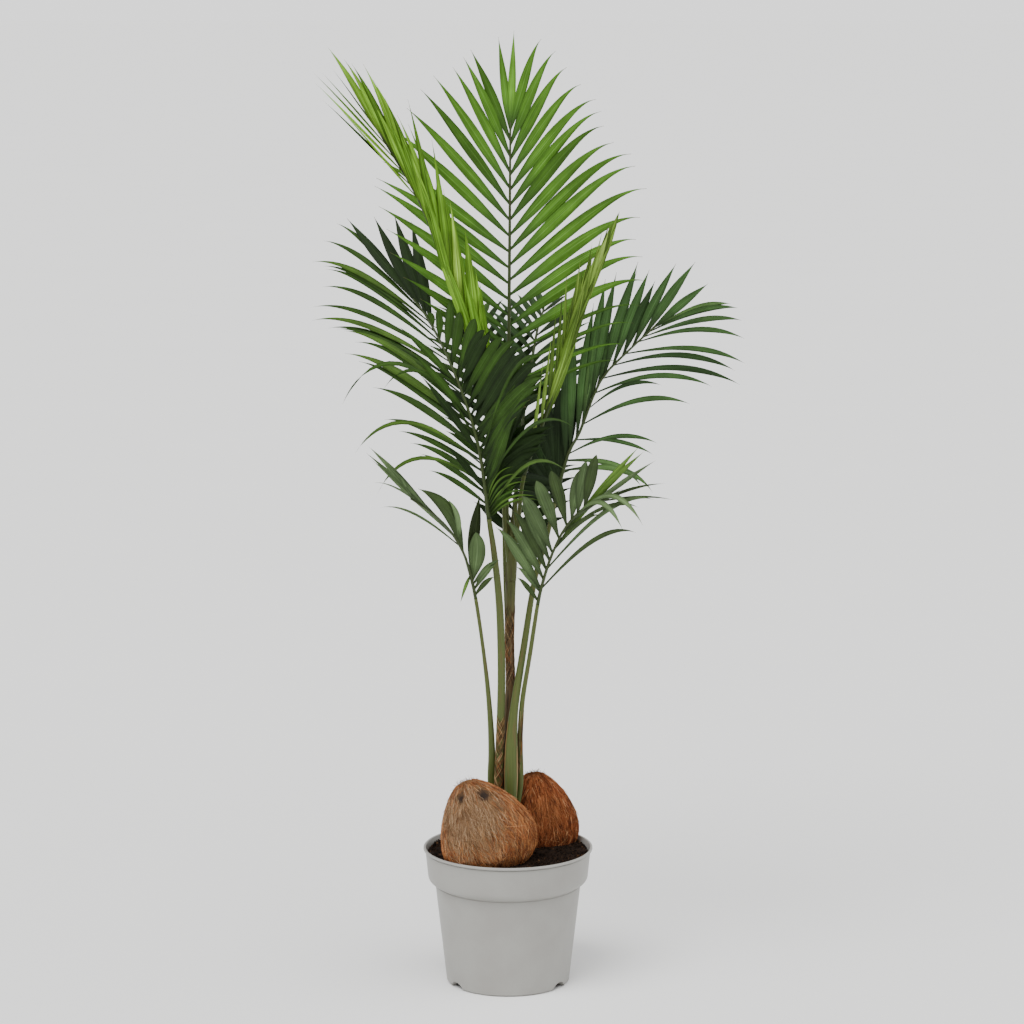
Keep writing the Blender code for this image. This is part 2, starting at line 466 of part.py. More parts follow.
def make_trunk(limbs):
    """The trunk: flared foot on the soil, a slim shaft, and the fork at its flat top."""
    line, radii = curve_through(TRUNK_LINE, TRUNK_RADII)
    ways = headings(line)
    ways[[0, -1]] = -DOWN
    bm = tube(line, ways, radii, TRUNK_SIDES)
    limbs.append(collision_tree(bm))
    finish_smooth(add_object("trunk", bm, material("green_stem", "#6b6a3c", 0.55)))


def seat_of(frond):
    """Where a stalk starts: beside the trunk at a height and bearing, or on the trunk's flat top."""
    height, bearing = frond.seat
    if height < 0.1:
        return np.array([frond.seat[0], frond.seat[1], TRUNK_LINE[-1][2] + GAP])
    line, radii = curve_through(TRUNK_LINE, TRUNK_RADII)
    middle = np.array([np.interp(height, line[:, 2], line[:, k]) for k in range(3)])
    off = np.interp(height, line[:, 2], radii) + frond.radii[0] + GAP
    a = math.radians(bearing)
    return middle + off * np.array([math.cos(a), math.sin(a), 0.0])


def make_stalk(name, frond, limbs):
    """The stalk of one frond as its own solid. Returns the line, headings and radii of the rib above it."""
    line, radii = curve_through([seat_of(frond), *frond.points], frond.radii)
    ways = headings(line)
    ways[0] = -DOWN
    cut = frond.rib_from * STEPS_PER_SPAN
    bm = tube(line[:cut + 1], ways[:cut + 1], radii[:cut + 1], STALK_SIDES)
    limbs.append(collision_tree(bm))
    finish_smooth(add_object("stalk_" + name, bm, material("green_stem", "#6b6a3c", 0.55)))
    rib = line[cut:].copy()
    rib[0] += GAP * ways[cut]
    return rib, ways[cut:], radii[cut:]


def rib_tree(line, ways, radii):
    """The collision tree of a rib alone, before its leaflets are joined to it."""
    bm = tube(line, ways, radii + CLEARANCE, RIB_SIDES)
    tree = collision_tree(bm)
    bm.free()
    return tree


def leaflet_line(root, ahead, out, sweep, reach, pull, hook):
    """The middle line of a leaflet: it leaves the rib `sweep` degrees off, and its direction is drawn
    towards `pull` by the square of the way along it, and down at its very tip by the sixth power."""
    out = unit(out - ahead * (out @ ahead))
    start = math.cos(math.radians(sweep)) * ahead + math.sin(math.radians(sweep)) * out
    s = (np.arange(LEAFLET_STEPS) + 0.5) / LEAFLET_STEPS
    ways = unit(start + (s ** 2)[:, None] * np.asarray(pull, float) + (s ** 6)[:, None] * hook * DOWN)
    line = np.vstack([root, root + np.cumsum(ways, axis=0) * reach / LEAFLET_STEPS])
    return line, start, unit(np.cross(ahead, out))


def blade_width(s, full, blunt, foot):
    """Half width of a blade along its length as a share of the greatest: it swells from its foot by a
    quarter wave up to where it is fullest, the more slowly the further out that is, then falls away as
    one less a power of the way left, that difference raised again to a power, which draws out a sharp
    point and leaves a blunt end full."""
    swell = foot + (1 - foot) * np.sin(np.clip(s / full, 0, 1) * math.pi / 2) ** (2.8 * full)
    away = np.clip((s - full) / (1 - full), 0, 1)
    return swell * (1 - away ** blunt) ** (1.45 if blunt < 2.5 else 0.9)


def leaflet_rings(line, start, face, width, row, extra=0.0):
    """The stations of a leaflet, three points each: both edges of the blade, rolled about its middle line
    and untwisting along it, and the ridge on its back. Returns the rings and the point at the tip."""
    edge = unit(np.cross(face, start))
    s = POINTED_STATIONS if row.blunt < 2.5 else BLUNT_STATIONS
    reach = np.linalg.norm(np.diff(line, axis=0), axis=1).sum()
    where = np.linspace(0, 1, len(line))
    middle = np.stack([np.interp(s, where, line[:, k]) for k in range(3)], -1)
    ways = headings(middle)
    turn = np.radians(row.roll + row.twist * np.clip(1.5 * s, 0, 1))[:, None]
    edge = np.cos(turn) * edge + np.sin(turn) * unit(face)
    side = unit(edge - (edge * ways).sum(1)[:, None] * ways)
    back = np.cross(ways, side)
    shape = blade_width(s, row.full, row.blunt, np.clip(LEAFLET_FOOT / width, 0.14, 0.36))
    half = (0.5 * width * shape + extra)[:, None]
    thick = (LEAFLET_THICKNESS * reach * np.clip(shape * 1.6, 0.45, 1.0) + extra)[:, None]
    left, right = middle - half * side, middle + half * side
    ridge = middle + thick * back
    if extra:
        left, right = left - extra * back, right - extra * back
    return np.stack([left, right, ridge], 1)[:-1], middle[-1] + extra * ways[-1]


def leaflet_solid(rings, tip):
    """A closed leaflet: three faces between neighbouring stations, one at the root, three at the tip."""
    bm = bmesh.new()
    rows = [[bm.verts.new(co) for co in ring] for ring in rings]
    point = bm.verts.new(tip)
    for low, high in zip(rows[:-1], rows[1:]):
        for k in range(3):
            n = (k + 1) % 3
            bm.faces.new((low[k], low[n], high[n], high[k]))
    bm.faces.new(list(reversed(rows[0])))
    for k in range(3):
        bm.faces.new((rows[-1][k], rows[-1][(k + 1) % 3], point))
    bmesh.ops.recalc_face_normals(bm, faces=bm.faces)
    return bm


def place_on(line, ways, share):
    """The point and the heading at a share of a line's length."""
    lengths = np.concatenate([[0], np.cumsum(np.linalg.norm(np.diff(line, axis=0), axis=1))])
    at = share * lengths[-1]
    point = np.array([np.interp(at, lengths, line[:, k]) for k in range(3)])
    way = np.array([np.interp(at, lengths, ways[:, k]) for k in range(3)])
    return point, unit(way)


def turn_about(vector, axis, degrees):
    """A vector turned about an axis."""
    a = math.radians(degrees)
    along = axis * (axis @ vector)
    return vector * math.cos(a) + np.cross(axis, vector) * math.sin(a) + along * (1 - math.cos(a))


def grow_row(row, rib, ways, draw, others):
    """One row of leaflets. Each is laid by the row's rule with a small irregularity, turned aside
    where it would touch another piece, and skipped where no turn clears it."""
    made = []
    for share in np.linspace(0, 1, row.count):
        wobble = draw.uniform(-1, 1, 5)
        root, ahead = place_on(rib, ways, row.span[0] + share * (row.span[1] - row.span[0]))
        sweep = np.interp(share, np.linspace(0, 1, len(row.sweep)), row.sweep) + 1.2 * wobble[0]
        reach = np.interp(share, np.linspace(0, 1, len(row.reach)), row.reach) * (1 + 0.03 * wobble[1])
        width = row.width * (1 + 0.06 * wobble[2]) * min(1.0, 0.40 + reach / 0.3)
        pull = np.asarray(row.pull) * (1 + 0.20 * wobble[4])
        for aside in TURN_ASIDE:
            out = turn_about(unit(row.out), ahead, aside + 2 * wobble[3])
            line, start, face = leaflet_line(root, ahead, out, sweep, reach, pull, row.hook)
            wide = leaflet_solid(*leaflet_rings(line, start, face, width, row, CLEARANCE))
            tree = collision_tree(wide)
            wide.free()
            if not any(tree.overlap(other) for other in others):
                made.append(leaflet_solid(*leaflet_rings(line, start, face, width, row)))
                break
    return made


def join_frond(name, rib_mesh, leaflets, look):
    """One solid from a rib and its leaflets, by a Boolean union on a collection."""
    frond = add_object(name, rib_mesh, look)
    group = bpy.data.collections.new(name + "_leaflets")
    for leaflet in leaflets:
        obj = add_object("leaflet", leaflet, look)
        bpy.context.collection.objects.unlink(obj)
        group.objects.link(obj)
    union = frond.modifiers.new("union", "BOOLEAN")
    union.operation = "UNION"
    union.operand_type = "COLLECTION"
    union.collection = group
    union.solver = "EXACT"
    apply_modifiers(frond)
    for obj in list(group.objects):
        bpy.data.objects.remove(obj)
    bpy.data.collections.remove(group)
    return frond


def keep_main_body(obj):
    """Merge doubled points, then keep only the largest closed surface: loose scraps go, and the skins
    of hollows sealed inside go too, which fills them."""
    bm = bmesh.new()
    bm.from_mesh(obj.data)
    bmesh.ops.remove_doubles(bm, verts=bm.verts, dist=0.000002)
    bmesh.ops.dissolve_degenerate(bm, edges=bm.edges, dist=0.000002)
    unseen = set(bm.faces)
    islands = []
    while unseen:
        stack = [unseen.pop()]
        island = list(stack)
        while stack:
            paired = [edge for edge in stack.pop().edges if len(edge.link_faces) == 2]
            for edge in paired:
                for face in edge.link_faces:
                    if face in unseen:
                        unseen.remove(face)
                        island.append(face)
                        stack.append(face)
        islands.append(island)
    islands.sort(key=lambda island: sum(face.calc_area() for face in island), reverse=True)
    bmesh.ops.delete(bm, geom=[face for island in islands[1:] for face in island], context="FACES")
    bm.to_mesh(obj.data)
    bm.free()


def make_frond(name, frond, rib, others):
    """The blade of one frond: its rib and its rows of leaflets, joined. Returns its collision tree."""
    line, ways, radii = rib
    draw = np.random.RandomState(frond.seed)
    rib_mesh = tube(line, ways, radii, RIB_SIDES)
    leaflets = []
    for row in frond.rows:
        leaflets += grow_row(row, line, ways, draw, others)
    look = material("frond_" + frond.colour[1:], frond.colour, 0.45)
    blade = join_frond("frond_" + name, rib_mesh, leaflets, look)
    keep_main_body(blade)
    bm = bmesh.new()
    bm.from_mesh(blade.data)
    tree = collision_tree(bm)
    bm.free()
    finish_smooth(blade, 40)
    return tree


def main():
    for obj in list(bpy.data.objects):
        bpy.data.objects.remove(obj)
    make_pot()
    make_soil()
    limbs = []
    for name, nut in NUTS.items():
        make_nut(name, nut)
    make_trunk(limbs)
    ribs = {name: make_stalk(name, frond, limbs) for name, frond in FRONDS.items()}
    trees = {name: rib_tree(*rib) for name, rib in ribs.items()}
    for name, frond in FRONDS.items():
        others = limbs + [tree for other, tree in trees.items() if other != name]
        trees[name] = make_frond(name, frond, ribs[name], others)


main()
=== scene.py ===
# Potted palm set with two husked coconuts: the looks of every surface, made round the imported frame.
# Metres, +Z up, -Y towards the viewer. The origin is the middle of the pot's flat underside.
import math
from collections import namedtuple

import bmesh
import bpy
import numpy as np
from mathutils import Euler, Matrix
from mathutils.bvhtree import BVHTree


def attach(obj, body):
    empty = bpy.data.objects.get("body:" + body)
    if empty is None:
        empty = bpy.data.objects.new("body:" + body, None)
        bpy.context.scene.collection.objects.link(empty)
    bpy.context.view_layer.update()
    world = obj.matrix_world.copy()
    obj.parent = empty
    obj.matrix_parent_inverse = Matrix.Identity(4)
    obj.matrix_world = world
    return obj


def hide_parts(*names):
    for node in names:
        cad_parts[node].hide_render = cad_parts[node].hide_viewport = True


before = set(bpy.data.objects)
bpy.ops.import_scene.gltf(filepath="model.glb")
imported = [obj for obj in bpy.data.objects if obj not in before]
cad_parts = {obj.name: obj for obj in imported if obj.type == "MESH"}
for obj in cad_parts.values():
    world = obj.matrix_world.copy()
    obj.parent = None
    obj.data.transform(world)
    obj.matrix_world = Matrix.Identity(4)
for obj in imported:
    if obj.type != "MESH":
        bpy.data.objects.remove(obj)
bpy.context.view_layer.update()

# Camera: where it stands, how far it looks down, and its lens for a 36 mm wide frame
CAMERA_PLACE = (0.005, -3.8, 1.2)
CAMERA_PITCH = 9.1
CAMERA_LENS = 110.67

MM = 0.001
GAP = 0.0003
DOWN = np.array([0.0, 0.0, -1.0])
ACROSS = np.array([1.0, 0.0, 0.0])

# Pot: a turned tub with a collar and a bead at its lip, and four arched drain notches at its foot
POT_BASE_RADIUS = 0.0740
POT_FOOT = (0.0765, 0.0022)
POT_BODY_TOP = (0.0904, 0.1236)
POT_COLLAR_FOOT = (0.0992, 0.1330)
POT_COLLAR_TOP = (0.1026, 0.1660)
POT_RIM_RADIUS = 0.1050
POT_HEIGHT = 0.1710
POT_WALL = 0.0022
POT_FLOOR = 0.0110
DRAIN_ANGLES = (-56, 56, 124, -124)
DRAIN_RADIUS = 0.0155
DRAIN_HEIGHT = 0.0085
DRAIN_BACK = 0.0540
POT_SIDES = 240
NOTCH_STEPS = 19

# The pot's wall, up its outside, over its lip and down its inside: each corner's radius, height and fillet
POT_PROFILE = (
    (*POT_FOOT, 0), (*POT_BODY_TOP, 0.0010), (POT_BODY_TOP[0] - 0.0007, 0.1246, 0.0004),
    (0.0914, 0.1262, 0.0008), (0.0970, 0.1290, 0.003), (*POT_COLLAR_FOOT, 0.003),
    (*POT_COLLAR_TOP, 0.0004), (POT_COLLAR_TOP[0] - 0.0009, 0.1670, 0.0002),
    (POT_RIM_RADIUS, 0.1682, 0.0004), (POT_RIM_RADIUS, POT_HEIGHT, 0.0012),
    (0.1022, POT_HEIGHT, 0.0010), (0.1002, 0.1640, 0.001),
    (POT_COLLAR_FOOT[0] - POT_WALL, 0.1350, 0.002), (POT_BODY_TOP[0] - POT_WALL, 0.1250, 0.004),
    (POT_FOOT[0] - POT_WALL, POT_FLOOR, 0.002), (0.0, POT_FLOOR, 0),
)

# Soil: a little under the pot's lip, strewn with crumbs
SOIL_TOP = 0.1660
SOIL_RADIUS = 0.0994
SOIL_RINGS = 60
SOIL_SIDES = 180
CRUMBS = 4200
# Dark crumbs in each drain notch: spilt soil, and painted shade that darkens the notch.
NOTCH_SHADE_CRUMBS = 450

# Husked coconuts: an egg on its own axis, its half sizes, where it lies, how it is turned in degrees and
# how much it narrows to its tip, the seed of its fibres, the dark and light brown of its skin, the browns
# of the strands in its worn patch and of the others, its eyes (bearing, rise and size of each) and its
# worn patch (the same)
Nut = namedtuple("Nut", "half centre turn taper seed skin worn browns eyes patch")
NUTS = {
    "coconut_front": Nut(
        (0.0570, 0.0430, 0.0635), (-0.0296, -0.0455, 0.2057), (-4, -22, 0), 0.33, 51,
        ("#6a4a2e", "#93704c"), ("#5a412b", "#7d6046", "#967758", "#a98a69", "#b99a78"),
        ("#4f2c17", "#7d482a", "#a0643b", "#ba7d4b", "#cd9a6b"),
        ((-0.99, 0.672, 0.0136), (-1.95, 0.770, 0.0102)), (-1.75, 0.30, 0.044)),
    "coconut_back": Nut(
        (0.0477, 0.0360, 0.0583), (0.0375, 0.0435, 0.1976), (3, -5, 0), 0.30, 52,
        ("#4f2a15", "#85502c"), ("#4c2914", "#734021", "#955833", "#ac6d42", "#bd8457"),
        ("#371a0d", "#653519", "#934f2b", "#b36d42", "#d09a6c"),
        (), (-1.2, 0.2, 0.02)),
}
EYE_BROWN = "#2a201a"
EYE_DEPTH = 0.0020
SKIN_UNDER = 0.0010
NUT_RIDGE = 0.01
NUT_RINGS = 130
NUT_SIDES = 200
NUT_STRANDS = 10500
NUT_HAIRS = 620
HAIR_WIDTH = 0.00013
STRAND_STEPS = 5

# Strands: how far into the half wave of its thickness each begins and ends, a direction that none runs in,
# and the steps of those that wind about a limb
STRAND_THIN = 0.18
SKEW = np.array([0.31, 0.22, 0.92])
WOUND_STEPS = 9

# Trunk: middle line from the soil to the fork, and its radius at each of those points
TRUNK_LINE = (
    (-0.002, 0.008, 0.1663), (-0.002, 0.009, 0.200), (-0.002, 0.010, 0.238), (-0.001, 0.011, 0.302),
    (0.003, 0.011, 0.374), (0.002, 0.010, 0.430), (0.003, 0.010, 0.480), (0.004, 0.009, 0.528),
)
TRUNK_RADII = (0.0115, 0.0086, 0.0068, 0.0060, 0.0056, 0.0056, 0.0062, 0.0070)
TRUNK_SIDES = 40

# The sheath that wraps the fork: its foot from the trunk's top, its rise, its radius and what it swells by
SHEATH_FOOT = np.array([0.0, 0.0, -0.024])
SHEATH_RISE = (0.0015, -0.001, 0.084)
SHEATH_RADIUS = 0.0058
SHEATH_SWELL = 0.0012
SHEATH_SIDES = 30
SHEATH_RINGS = 24

# Stalks and ribs: the groove down a stalk's front, its depth as a share of the radius and its width as
# radians round the stalk
GROOVE_DEPTH = 0.16
GROOVE_WIDTH = 0.5
STALK_SIDES = 28
RIB_SIDES = 12
RIB_RINGS = 60

# Nets of fibre: the limb, the heights between which it lies, how many fibres, how long each is, how far it
# slants round in degrees, and the bearings between which they start
NETS = (
    ("trunk", 0.365, 0.475, 230, 0.018, 75, (0, 360)),
    ("left", 0.205, 0.338, 330, 0.013, 80, (200, 330)),
    ("trunk", 0.168, 0.245, 140, 0.016, 50, (0, 360)),
    ("low_right", 0.258, 0.345, 60, 0.020, 12, (200, 340)),
)
NET_BROWNS = ("#2a1a0f", "#5a3a22", "#8a6a45", "#b0946c", "#a3582c")
NET_SHARES = (0.34, 0.30, 0.20, 0.12, 0.04)

# Dry edges of the sheaths: the limb, the heights between which each runs, its bearing and its width
SHEATH_EDGES = (
    ("right", 0.236, 0.330, 188, 0.0009), ("right", 0.236, 0.300, 338, 0.0005),
    ("left", 0.236, 0.300, 182, 0.0008), ("low_left", 0.216, 0.290, 350, 0.0007),
    ("low_right", 0.216, 0.262, 190, 0.0005),
)

# A laid leaflet: its blade's points, its stations, the same for its colours, where a blunt end has no dry
# point, its tone, its width and length, and its rough outline
Leaflet = namedtuple("Leaflet", "points stations dry tone width reach rough")

# Leaflets: steps along the middle line, stations kept from it and places across the blade, and fewer of
# both for the rough outline that is tried against the other pieces
LEAFLET_STEPS = 20
STATIONS = 21
BLADE_ACROSS = np.array([-1.0, -0.62, -0.30, 0.0, 0.30, 0.62, 1.0])
ROUGH_STATIONS = 7
ROUGH_ACROSS = np.array([-1.0, 0.0, 1.0])
BLADE_FOLD = 0.20
BLADE_PLEAT = 0.05
LEAFLET_FOOT = 0.0026
CLEARANCE = 0.0005
TURN_ASIDE = (0, 7, -7, 14, -14, 22, -22, 30, -30)
UPPER_SIDE = np.array([0.0, -0.6, 0.8])
VEIN_SHIFT = (0.037, 0.11)

# How far one leaflet may stray from its row, each way: degrees off the rib, its length, its width and its
# pull as shares, and degrees round the rib and about its own line
SWEEP_PLAY = 1.2
REACH_PLAY = 0.03
WIDTH_PLAY = 0.06
PULL_PLAY = 0.20
ASIDE_PLAY = 2
WRING_PLAY = 12

# Greens: five tones of a family of leaves, from its deepest shade to its lightest leaflet, the shade at
# the foot of every leaflet, how far a leaflet's tone strays from its row's, and how broad its veins are in
# millimetres and how strong; on young and olive blades that strength also paints the light and shade of
# the pleats
Greens = namedtuple("Greens", "tones foot play vein depth", defaults=(0.16, 1.1, 0.32))
GREENS = {
    "deep": Greens(("#182a0a", "#29430f", "#3d5919", "#537427", "#6b9138"), "#18270b"),
    "blue": Greens(("#1b2a13", "#273e1c", "#365327", "#4a6835", "#67854a"), "#1f2c16"),
    "fresh": Greens(("#294310", "#375814", "#48711d", "#5c8c28", "#7ca83b"), "#2e481c"),
    "young": Greens(("#32500e", "#446812", "#58821a", "#6d9a26", "#81a836"), "#53701f", 0.34, 1.5, 0.65),
    "olive": Greens(("#2e420f", "#3f5717", "#516d22", "#66832f", "#7c9742"), "#27340f", 0.34, 1.5, 0.65),
    "grey": Greens(("#263214", "#364723", "#4a5e38", "#5c7248", "#58782e"), "#2e3b20"),
}
DRY_TIP = "#5c5238"
LIGHT_VEIN = 1.28

# A row of leaflets: how many, between which shares of the rib, which way they spread, then, foot to tip,
# degrees off the rib and length, the greatest width, the pull that bends a leaflet along its length, the
# roll of its blade at the foot and how far it untwists to its tip, both in degrees, its tone from 0 dark
# to 1 light (rows deep in the crown are set dark, for their age and as painted shade), where along its
# length it is widest, how blunt it ends, and how hard its tip hangs
Row = namedtuple("Row", "count span out sweep reach width pull roll twist tone full blunt hook",
                 defaults=(0, 0.5, 0.36, 2.0, 0.0))

# A frond: the seat of its stalk on the trunk (height and bearing in degrees, or a place on the fork),
# the points that its stalk and rib pass, the point where the rib starts, the radius at each point,
# seat included, its rows of leaflets, its family of greens, its finish and the seed of its irregularities
Frond = namedtuple("Frond", "seat points rib_from radii rows greens slot seed")

